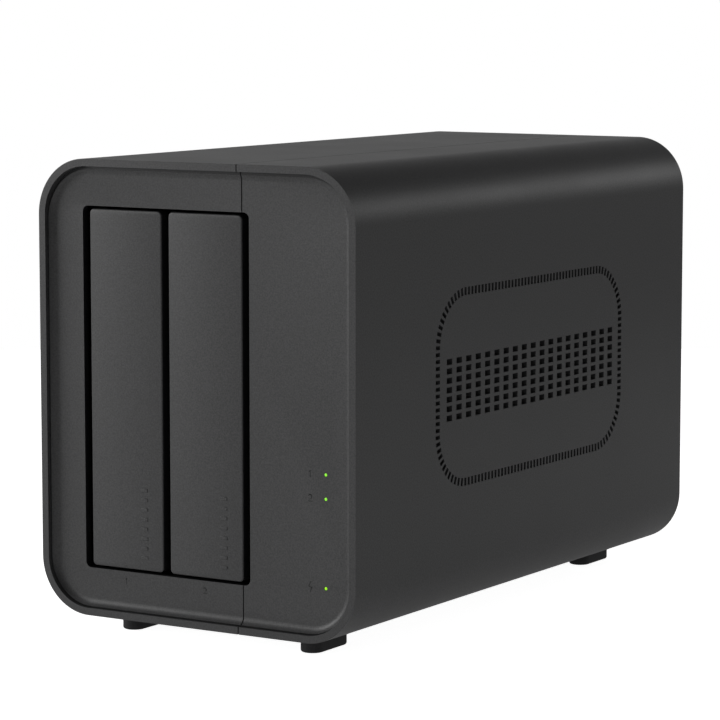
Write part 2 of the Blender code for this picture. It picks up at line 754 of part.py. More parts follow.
# ---- main board ----
SINK_LENGTH = 0.044
SINK_BASE = 0.003
SINK_FIN = 0.011
SINK_FINS = 9
SINK_FIN_THICKNESS = 0.0014
SINK_FRONT = 0.014
SINK_Z = BAY_Z + 0.024
MEMORY_SLOT_Y = 0.070
MEMORY_LENGTH = 0.0676
MEMORY_DEPTH = 0.030
MEMORY_THICKNESS = 0.0012
MEMORY_Z = BAY_Z + 0.010
BATTERY_RADIUS = 0.010
BATTERY_THICKNESS = 0.0032
HEADER = 0.005
LIGHT_HEADER_Z = BAY_Z - 0.022


def make_main_board():
    middle = MAIN_BOARD_BACK_Y - MAIN_BOARD_LENGTH / 2
    hole = rounded(0.0032, 0.0032, 0.0015, 2)
    holes = [shifted(hole, along - middle, up - BAY_Z) for along, up in BOARD_HOLES]
    board = plate(
        "main_board",
        [rounded(MAIN_BOARD_LENGTH, MAIN_BOARD_HEIGHT, 0.002, 2), *holes],
        BOARD,
        (MAIN_BOARD_X, middle, BAY_Z),
        "YZ",
    )
    front = MAIN_BOARD_BACK_Y - MAIN_BOARD_LENGTH
    chip = MAIN_BOARD_X + BOARD / 2
    chips = boxes(
        "board_chips",
        [
            ((0.003, 0.012, 0.012), (chip + 0.001, front + 0.024, BAY_Z - 0.012)),
            ((0.003, 0.009, 0.009), (chip + 0.001, front + 0.052, BAY_Z - 0.020)),
            ((0.003, 0.014, 0.008), (chip + 0.001, front + 0.050, BAY_Z - 0.040)),
            ((0.003, 0.009, 0.012), (chip + 0.001, front + 0.084, BAY_Z - 0.036)),
            ((2 * HEADER, HEADER, 2 * HEADER), (chip + HEADER / 2, front + HEADER, LIGHT_HEADER_Z)),
        ],
    )
    cans = rods(
        "board_capacitors",
        0.004,
        0.012,
        [(chip + 0.005, front + 0.024 + 0.0105 * place, BAY_Z + 0.053) for place in range(4)],
        "X",
        8,
    )
    keep(join(board, chips, cans), CIRCUIT)

    sink_y = front + SINK_FRONT + SINK_LENGTH / 2
    sink_middle = (PORT_FACE_X + SINK_BASE / 2, sink_y, SINK_Z)
    sink_base = box("heat_sink", (SINK_BASE, SINK_LENGTH, SINK_LENGTH), sink_middle)
    fin_pitch = (SINK_LENGTH - 2 * SINK_FIN_THICKNESS) / (SINK_FINS - 1)
    fin_size = (SINK_FIN + SINK_BASE / 2, SINK_LENGTH - GAP, SINK_FIN_THICKNESS)
    fin_x = PORT_FACE_X + SINK_BASE / 2 + fin_size[0] / 2
    fin_ups = [SINK_Z + (fin - (SINK_FINS - 1) / 2) * fin_pitch for fin in range(SINK_FINS)]
    fins = boxes("sink_fins", [(fin_size, (fin_x, sink_y, up)) for up in fin_ups])
    keep(join(sink_base, fins), SINK)

    slot_size = (0.0056, 0.006, MEMORY_LENGTH + 0.004)
    slot_x = PORT_FACE_X + slot_size[0] / 2
    slot = box("memory_slot", slot_size, (slot_x, MEMORY_SLOT_Y, MEMORY_Z))
    groove = box(
        "memory_groove",
        (MEMORY_THICKNESS + 2 * GAP, 0.007, MEMORY_LENGTH + 2 * GAP),
        (slot_x, MEMORY_SLOT_Y - 0.003, MEMORY_Z),
    )
    keep(cut(slot, groove), BLACK)
    module_back = MEMORY_SLOT_Y + 0.0005 - GAP
    module_middle = (slot_x, module_back - MEMORY_DEPTH / 2, MEMORY_Z)
    module = box("memory_module", (MEMORY_THICKNESS, MEMORY_DEPTH, MEMORY_LENGTH), module_middle)
    memory_chips = boxes(
        "memory_chips",
        [
            ((0.0034, 0.012, 0.009), (slot_x, module_back - 0.019, MEMORY_Z + (place - 1.5) * 0.0155))
            for place in range(4)
        ],
    )
    keep(join(module, memory_chips), CIRCUIT)

    battery_middle = (PORT_FACE_X + BATTERY_THICKNESS / 2, front + 0.016, BAY_Z - 0.040)
    battery = rod("clock_battery", BATTERY_RADIUS, BATTERY_THICKNESS, battery_middle, "X", 24)
    keep(battery, CELL)


def make_cables():
    board_front = MAIN_BOARD_BACK_Y - MAIN_BOARD_LENGTH
    light_back = LIGHT_BOARD_Y + BOARD / 2 + GAP
    header_x = MAIN_BOARD_X + BOARD / 2 + 0.6 * HEADER
    header_y = board_front + HEADER / 2 - GAP
    light_z = SHELL_BOTTOM + (LIGHT_BOARD_LOW + LIGHT_BOARD_HIGH) / 2
    route = [
        Vector((LIGHT_X, light_back, light_z)),
        Vector((LIGHT_X, light_back + 0.008, light_z + 0.001)),
        Vector(((LIGHT_X + header_x) / 2, (light_back + header_y) / 2, (light_z + LIGHT_HEADER_Z) / 2)),
        Vector((header_x, header_y - 0.008, LIGHT_HEADER_Z - 0.001)),
        Vector((header_x, header_y, LIGHT_HEADER_Z)),
    ]
    keep_curve(cable("light_cable", route, 0.0012), BLACK)


def keep_curve(obj, finish):
    CUTTERS.objects.unlink(obj)
    PARTS.objects.link(obj)
    obj.data.materials.append(finish)


# ---- rear panel and what comes through it ----
FAN_FIX = FAN_SCREW_PITCH / 2
FAN_SCREWS = {
    "fan_screw_1": (FAN_X - FAN_FIX, BAY_Z + FAN_FIX),
    "fan_screw_2": (FAN_X + FAN_FIX, BAY_Z + FAN_FIX),
    "fan_screw_3": (FAN_X - FAN_FIX, BAY_Z - FAN_FIX),
    "fan_screw_4": (FAN_X + FAN_FIX, BAY_Z - FAN_FIX),
}
FAN_SCREW_LENGTH = 0.008
LOCK_SLOT = (0.0032, 0.0072)
LOCK_X = FAN_X - 0.012
LOCK_Z = BAY_Z - 0.052
BUTTON_FLANGE = 0.0052
SWITCH_GAP = 0.0013


def port_places():
    """Each port's size, its height and the name of its piece."""
    places = {f"lan_port_{number}": (LAN_SIZE, LAN_Z[number]) for number in (1, 2)}
    places |= {f"usb_port_{number}": (USB_SIZE, USB_Z[number]) for number in (1, 2)}
    places["dc_inlet"] = (DC_SIZE, DC_Z)
    return places


def port_x(size):
    return PORT_FACE_X + size[0] / 2


def fan_mesh_holes():
    """Hexagons in a honeycomb that fills the fan's circle."""
    pitch = MESH_HOLE + MESH_BAR
    reach = FAN_BORE / 2 - MESH_HOLE / 2
    corner = MESH_HOLE / 2 / math.cos(math.radians(30))
    rows = int(reach / (pitch * math.cos(math.radians(30))))
    holes = []
    for row in range(-rows, rows + 1):
        up = row * pitch * math.cos(math.radians(30))
        columns = int(reach / pitch) + 1
        for column in range(-columns, columns + 1):
            across = (column + (row % 2) / 2) * pitch
            if math.hypot(across, up) > reach:
                continue
            turn = [math.radians(30 + 60 * side) for side in range(6)]
            holes.append([(across + corner * math.cos(a), up + corner * math.sin(a)) for a in turn])
    return holes


def circle(radius, sides=12):
    turns = [math.tau * (corner + 0.5) / sides for corner in range(sides)]
    return [(radius * math.cos(turn), radius * math.sin(turn)) for turn in turns]


def make_rear_panel():
    inner_width = WIDTH - 2 * (WALL + GAP)
    inner_height = SHELL_HEIGHT - 2 * (WALL + GAP)
    outlines = [rounded(inner_width, inner_height, CORNER_RADIUS - WALL - GAP)]
    for size, up in port_places().values():
        hole = rounded(size[0] + 2 * GAP, size[2] + 2 * GAP, 0.0006, 1)
        outlines.append(shifted(hole, port_x(size), up - SHELL_MIDDLE))
    outlines += [shifted(hole, FAN_X, BAY_Z - SHELL_MIDDLE) for hole in fan_mesh_holes()]
    screw_hole = circle(SCREW_SHANK + GAP)
    for across, up in (*PANEL_SCREWS.values(), *FAN_SCREWS.values()):
        outlines.append(shifted(screw_hole, across, up - SHELL_MIDDLE))
    outlines.append(shifted(circle(BUTTON_RADIUS + GAP, 20), PORT_X, BUTTON_Z - SHELL_MIDDLE))
    outlines.append(shifted(circle(RESET_RADIUS + GAP, 12), PORT_X, RESET_Z - SHELL_MIDDLE))
    lock = rounded(*LOCK_SLOT, 0.001, 2)
    outlines.append(shifted(lock, LOCK_X, LOCK_Z - SHELL_MIDDLE))
    panel = plate("rear_panel", outlines, PANEL, (0, (PANEL_IN_Y + PANEL_OUT_Y) / 2, SHELL_MIDDLE))
    keep(panel, PLATE)


def screw(name, across, up, under_head, length=SCREW_LENGTH):
    """A pan-head screw that points forward from the rear, with a cross recess."""
    top = SCREW_HEAD_HEIGHT
    profile = [
        (0, top),
        (SCREW_HEAD * 0.7, top),
        (SCREW_HEAD, top * 0.55),
        (SCREW_HEAD, 0),
        (SCREW_SHANK, 0),
        (SCREW_SHANK, -length),
        (0, -length),
    ]
    piece = turned(name, profile, (across, under_head, up), steps=8)
    piece.matrix_world = piece.matrix_world @ Matrix.Rotation(math.pi, 4, "X")
    middle = (across, under_head + top, up)
    wide = box(f"{name}_cross_wide", (0.0030, 0.0012, 0.0006), middle)
    tall = box(f"{name}_cross_tall", (0.0006, 0.0012, 0.0030), middle)
    keep(cut(piece, wide, tall), SCREW)


def make_screws():
    for name, (across, up) in PANEL_SCREWS.items():
        screw(name, across, up, PANEL_OUT_Y + GAP)
    for name, (across, up) in FAN_SCREWS.items():
        screw(name, across, up, PANEL_OUT_Y + GAP, FAN_SCREW_LENGTH)


def make_ports():
    for name, (size, up) in port_places().items():
        middle = (port_x(size), PORT_OUT_Y - size[1] / 2, up)
        port = box(name, size, middle)
        if name.startswith("lan"):
            opening = (LAN_SOCKET[0], 2 * LAN_SOCKET[1], LAN_SOCKET[2])
            socket = box(f"{name}_socket", opening, (middle[0], PORT_OUT_Y, up))
            key_width = (LAN_SIZE[0] - LAN_SOCKET[0]) / 2 - 0.0006
            key = box(
                f"{name}_key",
                (key_width * 2, 2 * LAN_SOCKET[1], LAN_SOCKET[2] / 2),
                (middle[0] - LAN_SOCKET[0] / 2, PORT_OUT_Y, up),
            )
            cut(port, socket, key)
        elif name.startswith("usb"):
            opening = (USB_SOCKET[0], 2 * USB_SOCKET[1], USB_SOCKET[2])
            socket = box(f"{name}_socket", opening, (middle[0], PORT_OUT_Y, up))
            tongue = box(
                f"{name}_tongue",
                (0.0018, USB_SOCKET[1], USB_SOCKET[2] - 0.0012),
                (middle[0] + 0.0009, PORT_OUT_Y - 0.0015 - USB_SOCKET[1] / 2, up),
            )
            join(cut(port, socket), tongue)
        else:
            socket = rod(f"{name}_socket", DC_SOCKET_RADIUS, 0.022, (middle[0], PORT_OUT_Y, up), sides=20)
            pin = rod(f"{name}_pin", DC_PIN_RADIUS, 0.011, (middle[0], PORT_OUT_Y - 0.0065, up), sides=10)
            join(cut(port, socket), pin)
        keep(port, BLACK if name == "dc_inlet" else SOCKET)


def make_buttons():
    body = body_at("power_button_axis", (PORT_X, PANEL_OUT_Y, BUTTON_Z))
    flange_top = -(BUTTON_PROUD + PANEL + GAP)
    profile = [
        (0, 0),
        (BUTTON_RADIUS, 0),
        (BUTTON_RADIUS, flange_top),
        (BUTTON_FLANGE, flange_top),
        (BUTTON_FLANGE, flange_top - 0.001),
        (0.0018, flange_top - 0.001),
        (0.0018, -BUTTON_LENGTH),
        (0, -BUTTON_LENGTH),
    ]
    button = turned("power_button", profile, (PORT_X, PANEL_OUT_Y + BUTTON_PROUD, BUTTON_Z), steps=20)
    button.matrix_world = button.matrix_world @ Matrix.Rotation(math.pi, 4, "X")
    keep(button, BEZEL, body)

    reset_body = body_at("reset_button_axis", (PORT_X, PANEL_OUT_Y, RESET_Z))
    reset_profile = [
        (0, 0),
        (RESET_RADIUS, 0),
        (RESET_RADIUS, -PANEL),
        (RESET_RADIUS + 0.0008, -PANEL),
        (RESET_RADIUS + 0.0008, -PANEL - 0.001),
        (RESET_RADIUS, -PANEL - 0.001),
        (RESET_RADIUS, -BUTTON_LENGTH + BUTTON_PROUD),
        (0, -BUTTON_LENGTH + BUTTON_PROUD),
    ]
    reset = turned("reset_button", reset_profile, (PORT_X, PANEL_OUT_Y - GAP, RESET_Z), steps=10)
    reset.matrix_world = reset.matrix_world @ Matrix.Rotation(math.pi, 4, "X")
    keep(reset, BEZEL, reset_body)

    switch_depth = 0.006
    switch_y = PANEL_OUT_Y + BUTTON_PROUD - BUTTON_LENGTH - SWITCH_GAP - switch_depth / 2
    for name, up in (("power_switch", BUTTON_Z), ("reset_switch", RESET_Z)):
        width = 0.0105
        keep(box(name, (width, switch_depth, 0.006), (PORT_FACE_X + width / 2, switch_y, up)), BLACK)


# ---- fan ----
AXLE_RADIUS = 0.0014
FAN_FACE = 0.0022


def make_fan():
    opening = circle(FAN_BORE / 2, 40)
    fixing = circle(SCREW_SHANK + GAP, 8)
    holes = [shifted(fixing, x, z) for x in (-FAN_FIX, FAN_FIX) for z in (-FAN_FIX, FAN_FIX)]
    frame = plate(
        "fan_frame",
        [rounded(FAN_SIZE, FAN_SIZE, FAN_CORNER, 3), opening, *holes],
        FAN_THICKNESS,
        (FAN_X, FAN_Y, BAY_Z),
    )
    back = FAN_Y + FAN_THICKNESS / 2
    strut_length = FAN_BORE + FAN_RIM
    strut_middle = (FAN_X, back - FAN_FACE / 2 - 0.0002, BAY_Z)
    level = box("fan_strut_level", (strut_length, FAN_FACE, FAN_STRUT), strut_middle)
    upright = box("fan_strut_upright", (FAN_STRUT, FAN_FACE, strut_length), strut_middle)
    mount = rod("fan_mount", HUB_RADIUS, FAN_FACE, (FAN_X, back - FAN_FACE / 2 - 0.0001, BAY_Z), sides=32)
    axle_length = FAN_THICKNESS * 0.6
    axle_middle = (FAN_X, back - FAN_FACE / 2 - axle_length / 2, BAY_Z)
    axle = rod("fan_axle", AXLE_RADIUS, axle_length, axle_middle, sides=12)
    keep(join(frame, mount, level, upright, axle), FAN)

    body = body_at("fan_axis", (FAN_X, FAN_Y, BAY_Z))
    hub_back = back - FAN_FACE - 2 * GAP
    hub_front = FAN_Y - FAN_THICKNESS / 2 + 0.001
    hub_length, hub_middle = cell_span(hub_front, hub_back)
    hub = rod("fan_rotor", HUB_RADIUS, hub_length, (FAN_X, hub_middle, BAY_Z), sides=32)
    tip = FAN_BORE / 2 - TIP_CLEARANCE
    root = HUB_RADIUS * 0.8
    blade_length = tip + 0.002 - root
    for number in range(BLADE_COUNT):
        blade = box(f"fan_blade_{number}", (blade_length, BLADE_CHORD, BLADE_THICKNESS), (0, 0, 0))
        out = Matrix.Translation((root + blade_length / 2, 0, 0))
        tilt = Matrix.Rotation(math.radians(BLADE_PITCH_DEG), 4, "X")
        around = Matrix.Rotation(math.tau * number / BLADE_COUNT, 4, "Y")
        blade.matrix_world = Matrix.Translation((FAN_X, hub_middle, BAY_Z)) @ around @ out @ tilt
        join(hub, blade)
    sweep = rod("fan_sweep", tip, hub_length - 0.0004, (FAN_X, hub_middle, BAY_Z), sides=48)
    boolean(hub, "INTERSECT", [sweep])
    bore_length = axle_length - FAN_FACE / 2 + GAP
    bore_place = (FAN_X, back - FAN_FACE, BAY_Z)
    bore = rod("fan_bore", AXLE_RADIUS + GAP, 2 * bore_length, bore_place, sides=12)
    keep(cut(hub, bore), FAN, body)


# ---- trays: frame, clips, drive and swinging handle ----
AXIS_INSET = 0.0022
EAR_RADIUS = 0.0014
EAR_WIDTH = 0.0025
EAR_SPREAD = 0.008
NOTCH_CLEARANCE = 0.0003
PIN_RADIUS = 0.00055
PIN_LENGTH = 0.021
HANDLE_Y = FACE_Y + AXIS_INSET
HANDLE_Z = BAY_Z + TRAY_FRONT_HEIGHT / 2 - AXIS_INSET
GRILLE_FRAME = 0.004
GRILLE_SLOT = 0.0055
GRILLE_PITCH = 0.0095
RIB_COUNT = 7
RIB_SIZE = (0.0022, 0.0008, 0.0010)
RIB_PITCH = 0.0036
RIB_INSET = 0.0062
RIB_UP = -0.0423
RIB_PROUD = 0.00025


def tray_frame(bay, body):
    name = f"tray_{bay}_frame"
    middle_x = BAY_X[bay]
    length, middle_y = cell_span(TRAY_NOSE_Y, DRIVE_BACK_Y - 0.004)
    frame = box(name, (TRAY_WIDTH, length, TRAY_HEIGHT), (middle_x, middle_y, BAY_Z))
    hollow_front = TRAY_NOSE_Y + TRAY_NOSE
    hollow_length, hollow_middle = cell_span(hollow_front, DRIVE_BACK_Y + 0.01)
    hollow_left = middle_x - TRAY_WIDTH / 2 + TRAY_BASE
    hollow_width, hollow_x = cell_span(hollow_left, middle_x + TRAY_WIDTH)
    hollow_size = (hollow_width, hollow_length, TRAY_HEIGHT - 2 * TRAY_RAIL)
    hollow = box(f"{name}_hollow", hollow_size, (hollow_x, hollow_middle, BAY_Z))
    grille_slot = (TRAY_WIDTH - 2 * GRILLE_FRAME, 4 * TRAY_NOSE, GRILLE_SLOT)
    grille = boxes(
        f"{name}_grille",
        [(grille_slot, (middle_x, TRAY_NOSE_Y, BAY_Z + GRILLE_PITCH * row)) for row in range(-4, 5)],
    )
    cut(frame, hollow, grille)
    ears = []
    for way in (-1, 1):
        across = middle_x + way * EAR_SPREAD
        arm_length, arm_middle = cell_span(HANDLE_Y, TRAY_NOSE_Y + TRAY_NOSE / 2)
        arm_height = EAR_RADIUS * 2.4
        ears.append(
            box(
                f"{name}_arm_{way}",
                (EAR_WIDTH, arm_length, arm_height),
                (across, arm_middle, HANDLE_Z + EAR_RADIUS * 0.7 - arm_height / 2),
            )
        )
        ear_middle = (across, HANDLE_Y, HANDLE_Z)
        ears.append(rod(f"{name}_ear_{way}", EAR_RADIUS, EAR_WIDTH - 0.0001, ear_middle, "X", 16))
    join(frame, *ears)
    bore = rod(f"{name}_ear_bore", PIN_RADIUS + GAP, TRAY_WIDTH, (middle_x, HANDLE_Y, HANDLE_Z), "X", 10)
    pockets = []
    for way in (-1, 1):
        outer = BAY_Z + way * TRAY_HEIGHT / 2
        pockets.append(
            box(
                f"{name}_pocket_{way}",
                (CLIP_WIDTH + 2 * GAP, CLIP_LENGTH + 2 * GAP, 2 * (CLIP_THICKNESS + GAP)),
                (middle_x, clip_y(), outer),
            )
        )
        pegs = peg_centres(bay, outer)
        pockets.append(rods(f"{name}_peg_holes_{way}", PEG_RADIUS + GAP, 2.5 * TRAY_RAIL, pegs, "Z", 10))
    keep(cut(frame, bore, *pockets), TRAY, body)


def clip_y():
    return (DRIVE_FRONT_Y + DRIVE_BACK_Y) / 2 - 0.002


def peg_centres(bay, up):
    return [(BAY_X[bay], clip_y() + along * CLIP_LENGTH / 2.6, up) for along in (-1, 1)]


def tray_clips(bay, body):
    """The upper and the lower strip, whose pegs reach through the rails to the drive."""
    for word, way in (("upper", 1), ("lower", -1)):
        name = f"tray_{bay}_clip_{word}"
        outer = BAY_Z + way * TRAY_HEIGHT / 2
        strip_middle = (BAY_X[bay], clip_y(), outer - way * CLIP_THICKNESS / 2)
        strip = box(name, (CLIP_WIDTH, CLIP_LENGTH, CLIP_THICKNESS), strip_middle)
        peg_length, peg_middle = cell_span(CLIP_THICKNESS / 2, TRAY_RAIL - GAP / 2)
        places = peg_centres(bay, outer - way * peg_middle)
        pegs = rods(f"{name}_pegs", PEG_RADIUS, peg_length, places, "Z", 10)
        keep(join(strip, pegs), CLIP, body)


def tray_drive(bay, body):
    centre_x = BAY_X[bay] - TRAY_WIDTH / 2 + TRAY_BASE + GAP + DRIVE_THICKNESS / 2
    centre = (centre_x, (DRIVE_FRONT_Y + DRIVE_BACK_Y) / 2, BAY_Z)
    drive = plate(
        f"tray_{bay}_drive",
        [rounded(DRIVE_LENGTH, DRIVE_HEIGHT, 0.003, 3)],
        DRIVE_THICKNESS,
        centre,
        "YZ",
        rounding=0.0008,
        rounding_steps=1,
    )
    keep(drive, DRIVE, body)


def tray_handle(bay, tray_body):
    """The front that shows, which swings out from the bottom and carries the tray with it."""
    body = body_at(f"tray_{bay}_handle_axis", (BAY_X[bay], HANDLE_Y, HANDLE_Z), tray_body)
    name = f"tray_{bay}_front"
    front = plate(
        name,
        [rounded(TRAY_FRONT_WIDTH, TRAY_FRONT_HEIGHT, TRAY_FRONT_RADIUS, 4)],
        TRAY_FRONT_DEPTH,
        (BAY_X[bay], (FACE_Y + TRAY_FRONT_BACK_Y) / 2, BAY_Z),
        rounding=TRAY_FRONT_EDGE,
        rounding_steps=1,
    )
    rib_size = (RIB_SIZE[0], 2 * RIB_PROUD, RIB_SIZE[2])
    rib_x = BAY_X[bay] + TRAY_FRONT_WIDTH / 2 - RIB_INSET
    rib_ups = [BAY_Z + RIB_UP + (rib - (RIB_COUNT - 1) / 2) * RIB_PITCH for rib in range(RIB_COUNT)]
    ribs = boxes(f"{name}_ribs", [(rib_size, (rib_x, FACE_Y, up)) for up in rib_ups])
    join(front, ribs)
    notches = []
    reach = EAR_RADIUS + NOTCH_CLEARANCE
    for way in (-1, 1):
        across = BAY_X[bay] + way * EAR_SPREAD
        width = EAR_WIDTH + 2 * GAP
        notches.append(rod(f"{name}_notch_{way}", reach, width, (across, HANDLE_Y, HANDLE_Z), "X", 16))
        notch_length, notch_middle = cell_span(HANDLE_Y, TRAY_FRONT_BACK_Y + 0.001)
        low = HANDLE_Z - EAR_RADIUS * 1.7 - NOTCH_CLEARANCE
        height, middle_z = cell_span(low, HANDLE_Z + AXIS_INSET + 0.001)
        slot_size = (width, notch_length, height)
        notches.append(box(f"{name}_slot_{way}", slot_size, (across, notch_middle, middle_z)))
    axis = (BAY_X[bay], HANDLE_Y, HANDLE_Z)
    bore = rod(f"{name}_bore", PIN_RADIUS + GAP, PIN_LENGTH + 2 * GAP, axis, "X", 10)
    keep(cut(front, *notches, bore), BEZEL, body)
    pin = rod(f"tray_{bay}_pin", PIN_RADIUS, PIN_LENGTH, axis, "X", 10)
    keep(pin, SCREW, tray_body)


def make_tray(bay):
    body = body_at(f"tray_{bay}_slide", (BAY_X[bay], FACE_Y, BAY_Z))
    tray_frame(bay, body)
    tray_clips(bay, body)
    tray_drive(bay, body)
    tray_handle(bay, body)


make_casing()
make_lights()
make_cage()
make_board_rails()
make_backplane()
make_main_board()
make_cables()
make_rear_panel()
make_screws()
make_ports()
make_buttons()
make_fan()
for bay_number in BAY_X:
    make_tray(bay_number)
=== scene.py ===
"""The looks of the two-bay network storage box: shells, fronts, trim, materials, light and camera."""

import math

import bmesh
import bpy
from mathutils import Matrix, Vector


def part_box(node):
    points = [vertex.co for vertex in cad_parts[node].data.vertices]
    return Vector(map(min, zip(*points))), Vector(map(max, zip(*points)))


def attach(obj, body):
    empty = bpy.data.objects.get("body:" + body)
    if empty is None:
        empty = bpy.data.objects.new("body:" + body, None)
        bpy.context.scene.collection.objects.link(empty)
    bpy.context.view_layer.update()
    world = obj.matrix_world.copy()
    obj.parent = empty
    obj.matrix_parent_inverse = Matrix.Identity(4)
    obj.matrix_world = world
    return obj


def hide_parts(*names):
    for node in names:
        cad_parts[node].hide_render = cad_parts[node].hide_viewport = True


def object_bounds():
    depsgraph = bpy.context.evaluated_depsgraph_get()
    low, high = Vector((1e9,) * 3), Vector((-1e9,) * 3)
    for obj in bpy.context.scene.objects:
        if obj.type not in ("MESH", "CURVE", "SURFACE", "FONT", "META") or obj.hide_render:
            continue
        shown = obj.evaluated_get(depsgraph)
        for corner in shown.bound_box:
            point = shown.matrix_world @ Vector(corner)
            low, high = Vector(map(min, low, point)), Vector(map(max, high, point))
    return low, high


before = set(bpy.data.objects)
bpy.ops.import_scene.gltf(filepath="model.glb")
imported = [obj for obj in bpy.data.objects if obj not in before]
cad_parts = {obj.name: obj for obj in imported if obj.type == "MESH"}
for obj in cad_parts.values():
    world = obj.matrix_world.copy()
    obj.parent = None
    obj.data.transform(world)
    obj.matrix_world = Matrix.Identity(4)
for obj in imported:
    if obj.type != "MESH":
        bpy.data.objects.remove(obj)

CAD_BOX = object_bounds()

# ---- sizes, from the frame where it has them ----
LOW, HIGH = (Vector(corner) for corner in CAD_BOX)
WIDTH = HIGH.x - LOW.x
SHELL_TOP = HIGH.z
SHELL_HEIGHT = 0.1463
SHELL_BOTTOM = SHELL_TOP - SHELL_HEIGHT
SHELL_MIDDLE = (SHELL_TOP + SHELL_BOTTOM) / 2
FRONT_Y = LOW.y
REAR_Y = HIGH.y
DEPTH = REAR_Y - FRONT_Y
CORNER_RADIUS = 0.0181
WALL = 0.0026
RIM_WIDTH = 0.0024
FACE_RECESS = 0.003
COVE_RADIUS = 0.0028
SEAM_GAP = 0.0004
GROOVE_WIDTH = 0.00030
GROOVE_TOP = 0.00105
SHADOW_DEPTH = 0.0001
GAP = 0.0003
LENS_RADIUS = 0.00048
LENS_HOLE_GAP = 0.00008
LENS_DOME = 0.4 * LENS_RADIUS
FLANGE_RADIUS = 0.0015
FLANGE_THICKNESS = 0.0013 - GAP
BAY_CORNER = 0.0020
FOOT_PAD_DROP = 0.0024
FOOT_PAD_MARGIN = 0.0024
FOOT_PAD_HEIGHT = 0.0040
FOOT_SEAT_DEPTH = 0.0024
SEAM_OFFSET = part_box("right_shell")[0][0] - SEAM_GAP / 2
FACE_Y = FRONT_Y + FACE_RECESS
GROOVE_Y = FRONT_Y + 0.0025
TRAYS = {bay: [Vector(corner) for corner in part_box(f"tray_{bay}_front")] for bay in (1, 2)}
TRAY_WIDTH = TRAYS[1][1].x - TRAYS[1][0].x
TRAY_HEIGHT = TRAYS[1][1].z - TRAYS[1][0].z
TRAY_BACK_Y = TRAYS[1][1].y
TRAY_SIDE_GAP = TRAYS[2][0].x - TRAYS[1][1].x
TRAY_END_GAP = 0.00095
BAY_WIDTH = 2 * TRAY_WIDTH + 3 * TRAY_SIDE_GAP
BAY_HEIGHT = TRAY_HEIGHT + 2 * TRAY_END_GAP
BAY_X = (TRAYS[1][0].x + TRAYS[2][1].x) / 2
BAY_Z = (TRAYS[1][0].z + TRAYS[1][1].z) / 2

VENT_LENGTH = 0.1269
VENT_HEIGHT = 0.0639
VENT_CORNER = 0.019
VENT_Z = SHELL_BOTTOM + 0.07345
BAND_WIDTH = 0.0026
BAND_SLOTS = 156
BAND_SLOT = 0.00125
LADDER_COLUMNS = 19
LADDER_PITCH = 0.0061
LADDER_WIDTH = 0.0034
LADDER_RUNGS = 7
RUNG_PITCH = 0.0030
RUNG_SLOT = 0.0019

LIGHT_NAMES = ("light_pipe_1", "light_pipe_2", "light_pipe_power")


def middle_of(node):
    low, high = (Vector(corner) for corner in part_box(node))
    return (low + high) / 2


# ---- tools for making pieces ----
TURNS = {
    "XY": Matrix.Identity(4),
    "XZ": Matrix.Rotation(math.radians(90), 4, "X"),
    "YZ": Matrix.Rotation(math.radians(90), 4, "Z") @ Matrix.Rotation(math.radians(90), 4, "X"),
}
AXIS_PLANE = {"Z": "XY", "Y": "XZ", "X": "YZ"}
HELPERS = []


def link(name, mesh):
    obj = bpy.data.objects.new(name, mesh)
    bpy.context.scene.collection.objects.link(obj)
    HELPERS.append(obj)
    return obj


def mesh_from(name, shape):
    mesh = bpy.data.meshes.new(name)
    shape.to_mesh(mesh)
    shape.free()
    return link(name, mesh)


def boxes(name, places):
    """Blocks in one mesh. Each place is a size, a centre and a turn about X in radians."""
    shape = bmesh.new()
    for size, centre, turn in places:
        place = Matrix.Translation(centre) @ Matrix.Rotation(turn, 4, "X") @ Matrix.Diagonal((*size, 1.0))
        bmesh.ops.create_cube(shape, size=1.0, matrix=place)
    return mesh_from(name, shape)


def box(name, size, centre):
    return boxes(name, [(size, centre, 0.0)])


def rods(name, radius, length, centres, axis="Y", sides=32):
    shape = bmesh.new()
    for centre in centres:
        place = Matrix.Translation(centre) @ TURNS[AXIS_PLANE[axis]]
        bmesh.ops.create_cone(
            shape, cap_ends=True, segments=sides, radius1=radius, radius2=radius, depth=length, matrix=place
        )
    return mesh_from(name, shape)


def rounded(width, height, radius, steps=24):
    points = []
    for quarter in range(4):
        side_x = (1, -1, -1, 1)[quarter] * (width / 2 - radius)
        side_y = (1, 1, -1, -1)[quarter] * (height / 2 - radius)
        for step in range(steps + 1):
            angle = math.radians(90 * (quarter + step / steps))
            points.append((side_x + radius * math.cos(angle), side_y + radius * math.sin(angle)))
    return points


def stadium(width, length, steps=14):
    return rounded(width, length, width / 2 - 1e-6, steps)


def plate(name, outlines, thickness, centre, plane="XZ", rounding=0.0, rounding_steps=4):
    """A flat outline with holes, given its thickness, with its rims rounded if asked."""
    curve = bpy.data.curves.new(name, "CURVE")
    curve.dimensions = "2D"
    curve.fill_mode = "BOTH"
    curve.extrude = thickness / 2 - rounding
    curve.bevel_depth = rounding
    curve.bevel_resolution = rounding_steps
    curve.offset = -rounding
    for outline in outlines:
        spline = curve.splines.new("POLY")
        spline.points.add(len(outline) - 1)
        for point, (across, up) in zip(spline.points, outline):
            point.co = (across, up, 0.0, 1.0)
        spline.use_cyclic_u = True
    guide = bpy.data.objects.new(f"{name}_outline", curve)
    bpy.context.scene.collection.objects.link(guide)
    bpy.context.view_layer.update()
    evaluated = guide.evaluated_get(bpy.context.evaluated_depsgraph_get())
    mesh = bpy.data.meshes.new_from_object(evaluated)
    bpy.data.objects.remove(guide)
    shape = bmesh.new()
    shape.from_mesh(mesh)
    bmesh.ops.remove_doubles(shape, verts=shape.verts, dist=1e-6)
    bmesh.ops.recalc_face_normals(shape, faces=shape.faces)
    bmesh.ops.transform(shape, matrix=Matrix.Translation(centre) @ TURNS[plane], verts=shape.verts)
    return mesh_from(name, shape)


